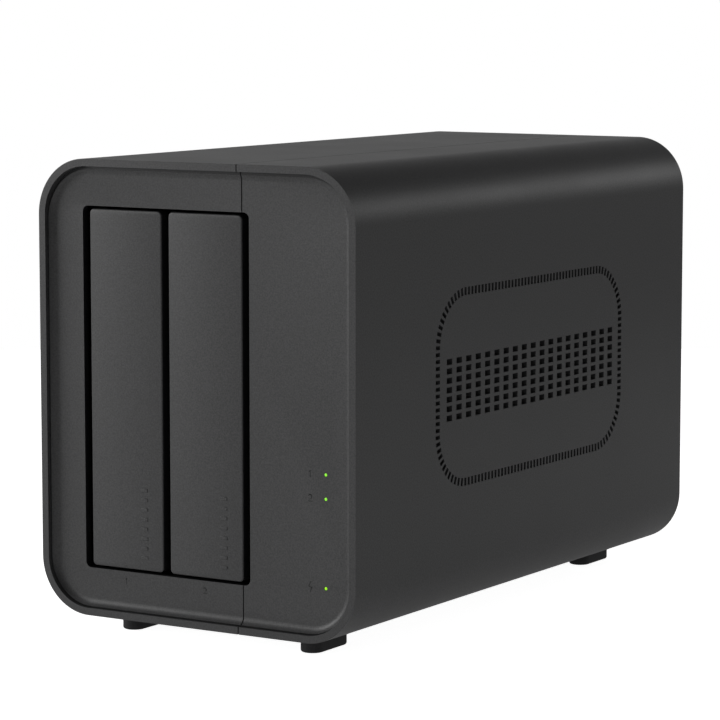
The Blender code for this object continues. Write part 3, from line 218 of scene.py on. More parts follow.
def shaped(target, *steps):
    """Runs (operation, tool) Booleans on the target and keeps their result as its own mesh."""
    for operation, tool in steps:
        step = target.modifiers.new(operation, "BOOLEAN")
        step.operation = operation
        step.solver = "EXACT"
        step.object = tool
    bpy.context.view_layer.update()
    evaluated = target.evaluated_get(bpy.context.evaluated_depsgraph_get())
    mesh = bpy.data.meshes.new_from_object(evaluated)
    target.modifiers.clear()
    target.data = mesh
    for _, tool in steps:
        HELPERS.remove(tool)
        bpy.data.objects.remove(tool)
    return target


def soften(obj, width, segments=2, angle=40):
    """Rounds the piece's sharp edges a little."""
    edge = obj.modifiers.new("soft_edges", "BEVEL")
    edge.width = width
    edge.segments = segments
    edge.limit_method = "ANGLE"
    edge.angle_limit = math.radians(angle)
    edge.harden_normals = False
    return obj


def paint_gap_shade(obj, inside):
    """Gives the faces that the test picks the black material, as painted shade in deep narrow gaps."""
    obj.data.materials.append(BLACK_AND_GAP_SHADE)
    for face in obj.data.polygons:
        if inside(face.center, face.normal):
            face.material_index = 1


def keep(obj, name, finish, body, replaced=(), sharp=32):
    HELPERS.remove(obj)
    obj.name = name
    obj.data.materials.clear()
    obj.data.materials.append(finish)
    obj.data.shade_smooth()
    obj.data.set_sharp_from_angle(angle=math.radians(sharp))
    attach(obj, body)
    if replaced:
        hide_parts(*replaced)
    return obj


# ---- materials ----
def node(tree, kind, **settings):
    made = tree.nodes.new(kind)
    for key, value in settings.items():
        setattr(made, key, value)
    return made


def surface(name, colour, roughness, metallic=0.0, specular=0.5, coat=0.0):
    made = bpy.data.materials.new(name)
    made.use_nodes = True
    shader = made.node_tree.nodes["Principled BSDF"]
    shader.inputs["Base Color"].default_value = (*colour, 1.0)
    shader.inputs["Roughness"].default_value = roughness
    shader.inputs["Metallic"].default_value = metallic
    shader.inputs["Specular IOR Level"].default_value = specular
    shader.inputs["Coat Weight"].default_value = coat
    return made


def noise(tree, scale, detail=2.0, stretch=(1, 1, 1), roughness=0.5):
    place = node(tree, "ShaderNodeTexCoord")
    mapping = node(tree, "ShaderNodeMapping")
    mapping.inputs["Scale"].default_value = stretch
    texture = node(tree, "ShaderNodeTexNoise")
    texture.inputs["Scale"].default_value = scale
    texture.inputs["Detail"].default_value = detail
    texture.inputs["Roughness"].default_value = roughness
    tree.links.new(place.outputs["Object"], mapping.inputs["Vector"])
    tree.links.new(mapping.outputs["Vector"], texture.inputs["Vector"])
    return texture.outputs["Fac"]


def spread(tree, value, low, high, start=0.3, end=0.7):
    """Maps a noise value onto a range."""
    ramp = node(tree, "ShaderNodeMapRange")
    ramp.inputs["From Min"].default_value = start
    ramp.inputs["From Max"].default_value = end
    ramp.inputs["To Min"].default_value = low
    ramp.inputs["To Max"].default_value = high
    tree.links.new(value, ramp.inputs["Value"])
    return ramp.outputs["Result"]


def tinted(tree, colour, value, amount):
    """The colour, made lighter and darker by the noise value."""
    mix = node(tree, "ShaderNodeMix", data_type="RGBA")
    mix.inputs["A"].default_value = (*(c * (1 - amount) for c in colour), 1.0)
    mix.inputs["B"].default_value = (*(min(1.0, c * (1 + amount)) for c in colour), 1.0)
    tree.links.new(spread(tree, value, 0.0, 1.0), mix.inputs["Factor"])
    return mix.outputs["Result"]


def bump(tree, value, height):
    made = node(tree, "ShaderNodeBump")
    made.inputs["Strength"].default_value = 1.0
    made.inputs["Distance"].default_value = height
    tree.links.new(value, made.inputs["Height"])
    return made.outputs["Normal"]


GLOSS_SPREAD = 0.015


def moulded(name, colour, roughness=0.42, grain=1900, height=0.00004, mottle=0.30, specular=0.45):
    """Moulded plastic: a fine grain that mottles the colour, and a very slightly uneven gloss."""
    made = surface(name, colour, roughness, specular=specular)
    tree = made.node_tree
    shader = tree.nodes["Principled BSDF"]
    fine = noise(tree, grain, 3.0)
    broad = noise(tree, 38, 3.0)
    tree.links.new(tinted(tree, colour, fine, mottle), shader.inputs["Base Color"])
    gloss = spread(tree, broad, roughness - GLOSS_SPREAD, roughness + GLOSS_SPREAD)
    tree.links.new(gloss, shader.inputs["Roughness"])
    tree.links.new(bump(tree, fine, height), shader.inputs["Normal"])
    return made


def metal(name, colour, roughness, stretch=(1, 1, 1), grain=900, height=0.00001):
    """Metal with a directional or even finish."""
    made = surface(name, colour, roughness, metallic=1.0)
    tree = made.node_tree
    shader = tree.nodes["Principled BSDF"]
    grainy = noise(tree, grain, 3.0, stretch)
    tree.links.new(tinted(tree, colour, grainy, 0.10), shader.inputs["Base Color"])
    tree.links.new(spread(tree, grainy, roughness - 0.08, roughness + 0.10), shader.inputs["Roughness"])
    tree.links.new(bump(tree, grainy, height), shader.inputs["Normal"])
    return made


def circuit(name, colour):
    """Solder mask over copper tracks, with bright pads."""
    made = surface(name, colour, 0.38, coat=0.3)
    tree = made.node_tree
    shader = tree.nodes["Principled BSDF"]
    place = node(tree, "ShaderNodeTexCoord")
    cells = node(tree, "ShaderNodeTexVoronoi", feature="DISTANCE_TO_EDGE", distance="MANHATTAN")
    cells.inputs["Scale"].default_value = 260
    tree.links.new(place.outputs["Object"], cells.inputs["Vector"])
    tracks = spread(tree, cells.outputs["Distance"], 1.0, 0.0, 0.02, 0.06)
    mix = node(tree, "ShaderNodeMix", data_type="RGBA")
    mix.inputs["A"].default_value = (*colour, 1.0)
    mix.inputs["B"].default_value = (colour[0] * 2.2, colour[1] * 1.6, colour[2] * 1.8, 1.0)
    tree.links.new(tracks, mix.inputs["Factor"])
    tree.links.new(mix.outputs["Result"], shader.inputs["Base Color"])
    tree.links.new(bump(tree, tracks, 0.00002), shader.inputs["Normal"])
    return made


def lit(name, colour, glow, strength):
    """A light pipe's lit end, with a faint cloudiness."""
    made = surface(name, colour, 0.3)
    tree = made.node_tree
    shader = tree.nodes["Principled BSDF"]
    cloud = noise(tree, 1800, 2.0)
    tree.links.new(tinted(tree, colour, cloud, 0.15), shader.inputs["Base Color"])
    shader.inputs["Emission Color"].default_value = (*glow, 1.0)
    shader.inputs["Emission Strength"].default_value = strength
    return made


CASE = moulded("case_charcoal", (0.048, 0.048, 0.049))
FRONT = moulded("front_charcoal", (0.050, 0.050, 0.051))
PANEL = moulded("rear_panel_charcoal", (0.040, 0.040, 0.041), 0.5)
TRAY = moulded("tray_black", (0.016, 0.016, 0.017), 0.5, 1500)
CLIP = moulded("clip_grey", (0.045, 0.046, 0.048), 0.45, 1500)
BUTTON = moulded("button_charcoal", (0.055, 0.055, 0.057), 0.4)
# black for the sockets and switches, also used as painted shade on the faces in deep narrow gaps
BLACK_AND_GAP_SHADE = moulded("socket_black_and_painted_gap_shade", (0.012, 0.012, 0.013), 0.42, 1200)
BLUE = moulded("tongue_blue", (0.010, 0.060, 0.330), 0.4, 1200)
FAN = moulded("fan_black", (0.012, 0.012, 0.013), 0.38, 900)
RUBBER = moulded("foot_rubber", (0.016, 0.016, 0.017), 0.62, 1900, 0.00004, 0.2)
INK = moulded("mark_ink", (0.012, 0.012, 0.012), 0.55, 2600, 0.00001)
# near-black cage: painted shade that keeps the gaps round the trays dark
CAGE_PAINTED_SHADE = moulded("cage_black_painted_shade", (0.014, 0.014, 0.015), 0.48, 1400, 0.00004)
CABLE = moulded("cable_sleeve", (0.015, 0.015, 0.016), 0.5, 1500)
STEEL = metal("screw_zinc", (0.38, 0.38, 0.39), 0.32)
SOCKET = metal("socket_nickel", (0.60, 0.60, 0.61), 0.28, (1, 6, 1))
GOLD = metal("contact_gold", (0.80, 0.55, 0.20), 0.25)
SINK = metal("sink_aluminium", (0.60, 0.61, 0.63), 0.36, (1, 0.1, 1))
BATTERY = metal("battery_steel", (0.68, 0.68, 0.69), 0.25, (1, 8, 1))
CASTING = metal("drive_casting", (0.46, 0.47, 0.48), 0.45, (1, 1, 1), 1300, 0.00004)
COVER = metal("drive_cover", (0.60, 0.61, 0.62), 0.34, (1, 0.06, 1), 1500)
BOARD = circuit("solder_mask", (0.008, 0.075, 0.032))
DRIVE_LIGHT = lit("drive_light", (0.10, 0.42, 0.02), (0.30, 0.85, 0.05), 0.85)
POWER_LIGHT = lit("power_light", (0.12, 0.42, 0.01), (0.36, 0.85, 0.01), 0.85)


# ---- shells ----
def perimeter_places(width, height, radius, count):
    """Evenly spaced points round a rounded rectangle, each with the direction that points outwards."""
    half_w, half_h = width / 2 - radius, height / 2 - radius
    arc = math.pi * radius / 2
    stretches = [2 * half_h, arc, 2 * half_w, arc] * 2
    total = sum(stretches)
    corners = [(half_w, half_h), (-half_w, half_h), (-half_w, -half_h), (half_w, -half_h)]
    for number in range(count):
        run = (number + 0.5) / count * total
        for index, length in enumerate(stretches):
            if run <= length:
                break
            run -= length
        side = index // 2
        facing = side * math.pi / 2
        if index % 2:
            turn = facing + run / radius
            middle = corners[side]
            yield middle[0] + radius * math.cos(turn), middle[1] + radius * math.sin(turn), turn
        else:
            out = Vector((math.cos(facing), math.sin(facing)))
            along = Vector((-out.y, out.x))
            reach = half_w + radius if side % 2 == 0 else half_h + radius
            point = out * reach + along * (run - length / 2)
            yield point.x, point.y, facing


def vent_places(side):
    """A band of fine slots round a long rounded outline, with ladders of short slots inside it."""
    across = side * WIDTH / 2
    depth = 3 * WALL
    band = perimeter_places(
        VENT_LENGTH - BAND_WIDTH, VENT_HEIGHT - BAND_WIDTH, VENT_CORNER - BAND_WIDTH / 2, BAND_SLOTS
    )
    slot = (depth, BAND_WIDTH, BAND_SLOT)
    places = [(slot, (across, along, VENT_Z + up), turn) for along, up, turn in band]
    for column in range(LADDER_COLUMNS):
        along = (column - (LADDER_COLUMNS - 1) / 2) * LADDER_PITCH
        for rung in range(LADDER_RUNGS):
            up = (rung - (LADDER_RUNGS - 1) / 2) * RUNG_PITCH
            places.append(((depth, LADDER_WIDTH, RUNG_SLOT), (across, along, VENT_Z + up), 0.0))
    return places


def gets_painted_gap_shade(centre, normal):
    """True for the floor of the rim's groove and the walls of the bay's opening, the faces that get painted
    shade.
    """
    if centre.y < FACE_Y:
        return normal.y < -0.9 and abs(centre.y - GROOVE_Y) < SHADOW_DEPTH
    beside = abs(centre.x - BAY_X) < BAY_WIDTH / 2 + GAP and abs(centre.z - BAY_Z) < BAY_HEIGHT / 2 + GAP
    in_opening = beside and FACE_Y + SHADOW_DEPTH < centre.y < FACE_Y + 2 * WALL
    return in_opening and abs(normal.y) < 0.9


def shell_half(name, side):
    """One half of the casing, with a smooth rounded section, a coved front and its vents."""
    whole = plate(
        name, [rounded(WIDTH, SHELL_HEIGHT, CORNER_RADIUS)], DEPTH, (0, (FRONT_Y + REAR_Y) / 2, SHELL_MIDDLE)
    )
    recess_depth = FACE_RECESS + 2 * COVE_RADIUS
    recess = plate(
        "face_recess",
        [rounded(WIDTH - 2 * RIM_WIDTH, SHELL_HEIGHT - 2 * RIM_WIDTH, CORNER_RADIUS - RIM_WIDTH)],
        recess_depth,
        (0, FACE_Y - recess_depth / 2, SHELL_MIDDLE),
        rounding=COVE_RADIUS,
        rounding_steps=6,
    )
    groove_depth = GROOVE_Y - FRONT_Y + GAP
    groove_height = SHELL_HEIGHT - 2 * RIM_WIDTH - GROOVE_WIDTH - GROOVE_TOP
    groove_core = rounded(
        WIDTH - 2 * (RIM_WIDTH + GROOVE_WIDTH), groove_height, CORNER_RADIUS - RIM_WIDTH - GROOVE_WIDTH
    )
    groove_inner = [(across, up - (GROOVE_TOP - GROOVE_WIDTH) / 2) for across, up in groove_core]
    groove_outer = rounded(
        WIDTH - 2 * RIM_WIDTH + GAP / 8, SHELL_HEIGHT - 2 * RIM_WIDTH + GAP / 8, CORNER_RADIUS - RIM_WIDTH
    )
    groove = plate(
        "rim_groove",
        [groove_outer, groove_inner],
        groove_depth,
        (0, GROOVE_Y - groove_depth / 2, SHELL_MIDDLE),
    )
    inner_front = FACE_Y + WALL
    inside = plate(
        "inside",
        [rounded(WIDTH - 2 * WALL, SHELL_HEIGHT - 2 * WALL, CORNER_RADIUS - WALL, 12)],
        REAR_Y + WALL - inner_front,
        (0, (REAR_Y + WALL + inner_front) / 2, SHELL_MIDDLE),
    )
    bay = plate("bay", [rounded(BAY_WIDTH, BAY_HEIGHT, BAY_CORNER, 8)], 4 * WALL, (BAY_X, FACE_Y, BAY_Z))
    away = WIDTH
    split = box(
        "split",
        (2 * away, 2 * DEPTH, 2 * SHELL_HEIGHT),
        (SEAM_OFFSET + side * (SEAM_GAP / 2 - away), 0, SHELL_MIDDLE),
    )
    steps = [("DIFFERENCE", tool) for tool in (recess, groove, inside, bay, split)]
    if side > 0:
        for light in LIGHT_NAMES:
            middle = middle_of(light)
            place = (middle.x, FACE_Y, middle.z)
            hole = rods("light_hole", LENS_RADIUS + LENS_HOLE_GAP, 4 * WALL, [place], sides=24)
            steps.append(("DIFFERENCE", hole))
    shaped(whole, *steps)
    shaped(whole, ("DIFFERENCE", boxes("vents", vent_places(side))))
    word = "left" if side < 0 else "right"
    pads = []
    for end in ("front", "rear"):
        low, high = (Vector(corner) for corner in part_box(f"foot_{end}_{word}"))
        middle = (low + high) / 2
        pad_low = SHELL_BOTTOM - FOOT_PAD_DROP
        pad = plate(
            "pad",
            [stadium(high.x - low.x + FOOT_PAD_MARGIN, high.y - low.y + FOOT_PAD_MARGIN)],
            FOOT_PAD_HEIGHT,
            (middle.x, middle.y, pad_low + FOOT_PAD_HEIGHT / 2),
            "XY",
            rounding=0.0005,
        )
        seat = plate(
            "seat",
            [stadium(high.x - low.x + 2 * GAP, high.y - low.y + 2 * GAP)],
            FOOT_SEAT_DEPTH,
            (middle.x, middle.y, pad_low),
            "XY",
        )
        pads.append(("UNION", pad))
        pads.append(("DIFFERENCE", seat))
    shaped(whole, *pads)
    soften(whole, 0.00022)
    keep(whole, f"fine_{name}", CASE, "case", (name,), sharp=28)
    # the groove floor and the opening's walls get the black material as painted shade
    paint_gap_shade(whole, gets_painted_gap_shade)


# ---- light pipes ----
def light_lens(name, finish):
    """A thin light pipe with a domed tip that fills its hole, and its flange behind the face."""
    low, high = (Vector(corner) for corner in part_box(name))
    middle = (low + high) / 2
    dome = [(LENS_RADIUS * math.sin(turn), LENS_DOME * math.cos(turn)) for turn in (0, 0.5, 1.0, 1.4)]
    back = -(high.y - low.y) + LENS_RADIUS
    profile = [
        *dome,
        (LENS_RADIUS, -WALL - GAP),
        (FLANGE_RADIUS, -WALL - GAP),
        (FLANGE_RADIUS, -WALL - GAP - FLANGE_THICKNESS),
        (LENS_RADIUS, -WALL - GAP - FLANGE_THICKNESS),
        (LENS_RADIUS, back),
        (0, back),
    ]
    shape = bmesh.new()
    points = [shape.verts.new((radius, 0.0, height)) for radius, height in profile]
    edges = [shape.edges.new(pair) for pair in zip(points, points[1:])]
    bmesh.ops.spin(
        shape, geom=points + edges, cent=(0, 0, 0), axis=(0, 0, 1), angle=math.tau, steps=28, use_merge=True
    )
    bmesh.ops.remove_doubles(shape, verts=shape.verts, dist=1e-7)
    bmesh.ops.recalc_face_normals(shape, faces=shape.faces)
    tip = Vector((middle.x, low.y + LENS_DOME, middle.z))
    bmesh.ops.transform(shape, matrix=Matrix.Translation(tip) @ TURNS["XZ"], verts=shape.verts)
    keep(mesh_from(name, shape), f"fine_{name}", finish, "case", (name,), sharp=50)


# ---- tray fronts ----
RIB_COUNT = 8
RIB_PITCH = 0.0031
RIB_SIZE = (0.0026, 0.0004, 0.0011)
RIB_INSET = 0.0072
RIB_UP = -0.0423
RIB_SUNK = 0.00018
FRONT_CORNER = 0.0015
FRONT_ROUNDING = 0.00045
FRONT_SKIN = 0.0022
HOLLOW_DROP = 0.0060
HOLLOW_SIDE = 0.0036
HOLLOW_ENDS = 0.0180
STIFFENER_SIDE = 0.0034
STIFFENER_BACK = 0.0026
STIFFENER_THICKNESS = 0.0012
STIFFENER_UPS = (-0.036, -0.012, 0.012, 0.036)
HINGE_INSET = 0.0022
HINGE_SETBACK = 0.00025
NOTCH_WIDTH = 0.0031
NOTCH_RADIUS = 0.0017
NOTCH_ACROSS = 0.008
NOTCH_HEIGHT = 0.006
NOTCH_LIFT = 0.0003
PAINTED_SHADE_START = 0.0012


def tray_front(bay):
    """The hollow front of one tray, with its stiffeners, hinge notches and grip ribs."""
    low, high = TRAYS[bay]
    middle = (low + high) / 2
    front_y = FACE_Y
    name = f"fine_tray_{bay}_front"
    thickness = TRAY_BACK_Y - front_y
    slab = plate(
        name,
        [rounded(TRAY_WIDTH, TRAY_HEIGHT, FRONT_CORNER, 10)],
        thickness,
        (middle.x, front_y + thickness / 2, middle.z),
        rounding=FRONT_ROUNDING,
        rounding_steps=4,
    )
    hollow = plate(
        "hollow",
        [rounded(TRAY_WIDTH - HOLLOW_SIDE, TRAY_HEIGHT - HOLLOW_ENDS, 0.001, 4)],
        thickness,
        (middle.x, front_y + thickness / 2 + FRONT_SKIN, middle.z - HOLLOW_DROP),
    )
    stiffener = (TRAY_WIDTH - STIFFENER_SIDE, thickness - STIFFENER_BACK, STIFFENER_THICKNESS)
    stiffeners = boxes(
        "stiffeners",
        [
            (stiffener, (middle.x, front_y + thickness / 2, middle.z - HOLLOW_DROP + up), 0.0)
            for up in STIFFENER_UPS
        ],
    )
    steps = [("DIFFERENCE", hollow), ("UNION", stiffeners)]
    axis_y, axis_z = low.y + HINGE_INSET + HINGE_SETBACK, high.z - HINGE_INSET
    for way in (-1, 1):
        across = middle.x + way * NOTCH_ACROSS
        bore = rods("notch", NOTCH_RADIUS, NOTCH_WIDTH, [(across, axis_y, axis_z)], "X", 24)
        steps.append(("DIFFERENCE", bore))
        notch_back = TRAY_BACK_Y + 0.001
        notch = box(
            "notch_back",
            (NOTCH_WIDTH, notch_back - axis_y, NOTCH_HEIGHT),
            (across, (axis_y + notch_back) / 2, axis_z + NOTCH_LIFT),
        )
        steps.append(("DIFFERENCE", notch))
    shaped(slab, *steps)
    keep(slab, name, FRONT, f"tray_{bay}_handle", (f"tray_{bay}_front",), sharp=28)
    # the front's side walls, past a thin band at the face, get the black material as painted shade in the gaps
    # between the trays
    paint_gap_shade(slab, lambda centre, normal: abs(normal.y) < 0.3 and centre.y > front_y + PAINTED_SHADE_START)

    rib_y = front_y + RIB_SIZE[1] / 2 - RIB_SUNK
    rib_ups = [middle.z + RIB_UP + (rib - (RIB_COUNT - 1) / 2) * RIB_PITCH for rib in range(RIB_COUNT)]
    ribs = boxes(
        f"tray_{bay}_grip_ribs", [(RIB_SIZE, (high.x - RIB_INSET, rib_y, up), 0.0) for up in rib_ups]
    )
    soften(ribs, 0.00014)
    keep(ribs, f"tray_{bay}_grip_ribs", FRONT, f"tray_{bay}_handle")


# ---- feet ----
def rubber_foot(name):
    """A rounded rubber foot in the place of the plain one."""
    low, high = (Vector(corner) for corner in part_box(name))
    middle = (low + high) / 2
    foot = plate(
        name,
        [stadium(high.x - low.x, high.y - low.y)],
        high.z - low.z,
        middle,
        "XY",
        rounding=0.0007,
        rounding_steps=5,
    )
    keep(foot, f"fine_{name}", RUBBER, "case", (name,), sharp=50)


# ---- marks on the face ----
MARK_STROKE = 0.00026
MARK_HEIGHT = 0.00200
BAY_MARK_HEIGHT = 0.0017
BAY_MARK_UP = 0.0119
BAY_MARK_SHIFT = 0.0006
MARK_STANDOFF = 0.00003
LIGHT_MARK_OFFSET = 0.0056


def strokes(name, lines, place):
    """Thin printed strokes, flat on the face: each line is a list of (across, up) points."""
    curve = bpy.data.curves.new(name, "CURVE")
    curve.dimensions = "2D"
    curve.fill_mode = "BOTH"
    curve.extrude = 0.00002
    for line in lines:
        for (x1, y1), (x2, y2) in zip(line, line[1:]):
            run = Vector((x2 - x1, y2 - y1))
            out = Vector((-run.y, run.x)).normalized() * MARK_STROKE / 2
            on = run.normalized() * MARK_STROKE / 2
            start, end = Vector((x1, y1)) - on, Vector((x2, y2)) + on
            spline = curve.splines.new("POLY")
            spline.points.add(3)
            for point, at in zip(spline.points, (start - out, end - out, end + out, start + out)):
                point.co = (at.x, at.y, 0.0, 1.0)
            spline.use_cyclic_u = True
    guide = bpy.data.objects.new(f"{name}_outline", curve)
    bpy.context.scene.collection.objects.link(guide)
    bpy.context.view_layer.update()
    mesh = bpy.data.meshes.new_from_object(guide.evaluated_get(bpy.context.evaluated_depsgraph_get()))
    bpy.data.objects.remove(guide)
    mesh.transform(Matrix.Translation(place) @ TURNS["XZ"])
    mark = link(name, mesh)
    return keep(mark, name, INK, "case")


def numeral(digit, height):
    """The strokes of a 1 or a 2, round the middle of the digit."""
    half = height / 2
    wide = height * 0.30
    if digit == 1:
        return [[(-wide * 0.5, half * 0.62), (0, half), (0, -half)]]
    hook = [(-wide, half * 0.72), (-wide * 0.4, half), (wide * 0.5, half), (wide, half * 0.5)]
    return [[*hook, (wide * 0.7, 0.0), (-wide, -half), (wide, -half)]]


def marks():
    """The printed numerals beside the lights and under the bays, and the power mark."""
    face = FACE_Y - MARK_STANDOFF
    beside = middle_of("light_pipe_1").x - LIGHT_MARK_OFFSET
    bay_up = SHELL_BOTTOM + BAY_MARK_UP
    for digit in (1, 2):
        up = middle_of(f"light_pipe_{digit}").z
        strokes(f"light_numeral_{digit}", numeral(digit, MARK_HEIGHT), (beside, face, up))
        tray_middle = (TRAYS[digit][0].x + TRAYS[digit][1].x) / 2
        place = (tray_middle - BAY_MARK_SHIFT, face, bay_up)
        strokes(f"bay_numeral_{digit}", numeral(digit, BAY_MARK_HEIGHT), place)
    bolt = [
        [(0.00010, 0.0017), (-0.00055, 0.0002)],
        [(0.00055, -0.0001), (-0.00010, -0.0016)],
        [(-0.00055, 0.0002), (0.00055, -0.0001)],
    ]
    strokes("power_mark", bolt, (beside, face, middle_of("light_pipe_power").z))


# ---- small trim on the rear ----
CONTACT_SIZE = (0.0003, 0.0075, 0.0005)
CONTACT_COUNT = 8
CONTACT_PITCH = 0.00102
CONTACT_ACROSS = 0.0046 - 0.0004
CONTACT_SETBACK = 0.0070
TONGUE_SIZE = (0.0021, 0.0108, 0.0117)
TONGUE_ACROSS = 0.0009
TONGUE_SETBACK = 0.0014
TONGUE_PAD_SIZE = (0.00012, 0.0065, 0.0011)
TONGUE_PAD_COUNT = 4
TONGUE_PAD_PITCH = 0.0025
TONGUE_PAD_SETBACK = 0.0062
TONGUE_PAD_OFFSET = 0.0011
WINDOW_SIZE = (0.0013, 0.0003, 0.0028)
WINDOW_INSET = 0.0013
WINDOW_REACH = 0.0054
DC_RING_OUTER = 0.0090
DC_RING_INNER = 0.0066
DC_RING_THICKNESS = 0.0004


def port_contacts(name):
    """A row of gold spring contacts on the far side of a network socket."""
    low, high = (Vector(corner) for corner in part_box(name))
    middle = (low + high) / 2
    across = middle.x + CONTACT_ACROSS
    along = high.y - CONTACT_SETBACK
    ups = [middle.z + (pin - (CONTACT_COUNT - 1) / 2) * CONTACT_PITCH for pin in range(CONTACT_COUNT)]
    places = [(CONTACT_SIZE, (across, along, up), 0.0) for up in ups]
    keep(boxes(f"{name}_contacts", places), f"{name}_contacts", GOLD, "case")


def usb_tongue(name):
    """The blue blade in a USB socket, over the plain one, with its four contacts."""
    low, high = (Vector(corner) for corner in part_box(name))
    middle = (low + high) / 2
    across = middle.x + TONGUE_ACROSS
    blade = box("blade", TONGUE_SIZE, (across, high.y - TONGUE_SETBACK - TONGUE_SIZE[1] / 2, middle.z))
    soften(blade, 0.0002)
    keep(blade, f"{name}_tongue", BLUE, "case")
    pad_x = across - TONGUE_PAD_OFFSET
    ups = [middle.z + (pin - (TONGUE_PAD_COUNT - 1) / 2) * TONGUE_PAD_PITCH for pin in range(TONGUE_PAD_COUNT)]
    places = [(TONGUE_PAD_SIZE, (pad_x, high.y - TONGUE_PAD_SETBACK, up), 0.0) for up in ups]
    keep(boxes(f"{name}_contacts", places), f"{name}_contacts", GOLD, "case")


def port_lights(name):
    """Two small windows in the face of a network socket."""
    low, high = (Vector(corner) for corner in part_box(name))
    middle = (low + high) / 2
    across, along = high.x - WINDOW_INSET, high.y + 0.00002
    places = [(WINDOW_SIZE, (across, along, middle.z + way * WINDOW_REACH), 0.0) for way in (-1, 1)]
    windows = boxes(f"{name}_windows", places)
    keep(windows, f"{name}_windows", DRIVE_LIGHT, "case")


def dc_liner():
    """A bright ring round the power inlet."""
    low, high = (Vector(corner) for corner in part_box("dc_inlet"))
    middle = (low + high) / 2
    ring_outline = [rounded(size, size, size / 2 - 0.00001, 12) for size in (DC_RING_OUTER, DC_RING_INNER)]
    ring = plate("dc_ring", ring_outline, DC_RING_THICKNESS, (middle.x, high.y + 0.00012, middle.z))
    keep(ring, "dc_inlet_ring", STEEL, "case")


# ---- drives ----
DRIVE_CORNER = 0.003
DRIVE_EDGE = 0.0007
COVER_STEP = 0.0014
COVER_INSET = (0.012, 0.010)
COVER_CORNER = 0.008
COVER_THICKNESS = 0.0013
COVER_SHIFT = 0.002
SCREW_INSET = (0.013, 0.010)
SCREW_RADIUS = 0.0022
SCREW_PROUD = 0.0002
CASTING_GROOVE = (0.012, 0.090, 0.0016)


def fine_drive(bay):
    """A drive with a raised cover and its screws, in place of the plain block."""
    name = f"tray_{bay}_drive"
    low, high = (Vector(corner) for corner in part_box(name))
    middle = (low + high) / 2
    size = high - low
    casting = plate(
        name,
        [rounded(size.y, size.z, DRIVE_CORNER, 8)],
        size.x - COVER_STEP,
        (middle.x - COVER_STEP / 2, middle.y, middle.z),
        "YZ",
        rounding=DRIVE_EDGE,
        rounding_steps=3,
    )
    inset, length, depth = CASTING_GROOVE
    groove = boxes(
        "groove",
        [((size.x - inset, length, depth), (middle.x, middle.y, z), 0.0) for z in (low.z, high.z)],
    )
    shaped(casting, ("DIFFERENCE", groove))
    soften(casting, 0.0003)
    keep(casting, f"fine_{name}", CASTING, f"tray_{bay}", (name,))
    cover = plate(
        "cover",
        [rounded(size.y - COVER_INSET[0], size.z - COVER_INSET[1], COVER_CORNER, 10)],
        COVER_THICKNESS,
        (high.x - 0.00075, middle.y + COVER_SHIFT, middle.z),
        "YZ",
        rounding=0.0004,
    )
    keep(cover, f"tray_{bay}_drive_cover", COVER, f"tray_{bay}")
    reach_y, reach_z = size.y / 2 - SCREW_INSET[0], size.z / 2 - SCREW_INSET[1]
    spots = [
        (high.x - SCREW_PROUD / 2, middle.y + along * reach_y, middle.z + up * reach_z)
        for along in (-1, 0, 1)
        for up in (-1, 1)
    ]
    heads = rods("heads", SCREW_RADIUS, SCREW_PROUD, spots, "X", 20)
    keep(heads, f"tray_{bay}_drive_screws", STEEL, f"tray_{bay}")


# ---- finishes of the pieces that stay as they are ----
FINISHES = {
    PANEL: ["rear_panel"],
    # the cage plates and walls take the near-black painted shade
    CAGE_PAINTED_SHADE: ["cage_top_plate", "cage_bottom_plate", "cage_left_wall", "cage_centre_wall", "cage_right_wall"],
    BOARD: ["backplane_board", "main_board", "memory_module", "light_board"],
    BLACK_AND_GAP_SHADE: ["sata_connector_1", "sata_connector_2", "link_connector", "memory_slot", "dc_inlet"]
    + ["power_switch", "reset_switch"],
    CABLE: ["light_cable"],
    SOCKET: ["lan_port_1", "lan_port_2", "usb_port_1", "usb_port_2"],
    SINK: ["heat_sink"],
    BATTERY: ["clock_battery"],
    FAN: ["fan_frame", "fan_rotor"],
    STEEL: [f"{place}_screw_{number}" for place in ("panel", "fan") for number in (1, 2, 3, 4)]
    + ["tray_1_pin", "tray_2_pin"],
    TRAY: ["tray_1_frame", "tray_2_frame"],
    CLIP: ["board_rail_upper", "board_rail_lower"]
    + [f"tray_{bay}_clip_{word}" for bay in (1, 2) for word in ("upper", "lower")],
    BUTTON: ["power_button", "reset_button"],
}
SOFT_EDGES = {
    "rear_panel": 0.00025,
    "power_button": 0.0003,
    "dc_inlet": 0.0002,
    "heat_sink": 0.00015,
    "cage_left_wall": 0.0002,
    "cage_centre_wall": 0.0002,
    "cage_right_wall": 0.0002,
}


def finish_nodes():
    for finish, names in FINISHES.items():
        for name in names:
            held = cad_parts[name]
            obj = bpy.data.objects[name] if isinstance(held, str) else held
            obj.data.materials.clear()
            obj.data.materials.append(finish)
            obj.data.shade_smooth()
            obj.data.set_sharp_from_angle(angle=math.radians(32))
            if name in SOFT_EDGES:
                soften(obj, SOFT_EDGES[name])


# ---- floor, light and camera ----
def make_floor():
    shape = bmesh.new()
    bmesh.ops.create_circle(shape, cap_ends=True, segments=96, radius=FLOOR_RADIUS)
    floor = mesh_from("studio_floor", shape)
    HELPERS.remove(floor)
    floor.location.z = -0.0002
    made = surface("studio_floor", (0.93, 0.93, 0.93), 0.9, specular=0.1)
    shader = made.node_tree.nodes["Principled BSDF"]
    shader.inputs["Emission Color"].default_value = (1.0, 1.0, 1.0, 1.0)
    tree = made.node_tree
    path = node(tree, "ShaderNodeLightPath")
    glow = spread(tree, path.outputs["Is Camera Ray"], FLOOR_BOUNCE, FLOOR_GLOW, 0.0, 1.0)
    tree.links.new(glow, shader.inputs["Emission Strength"])
    floor.data.materials.append(made)


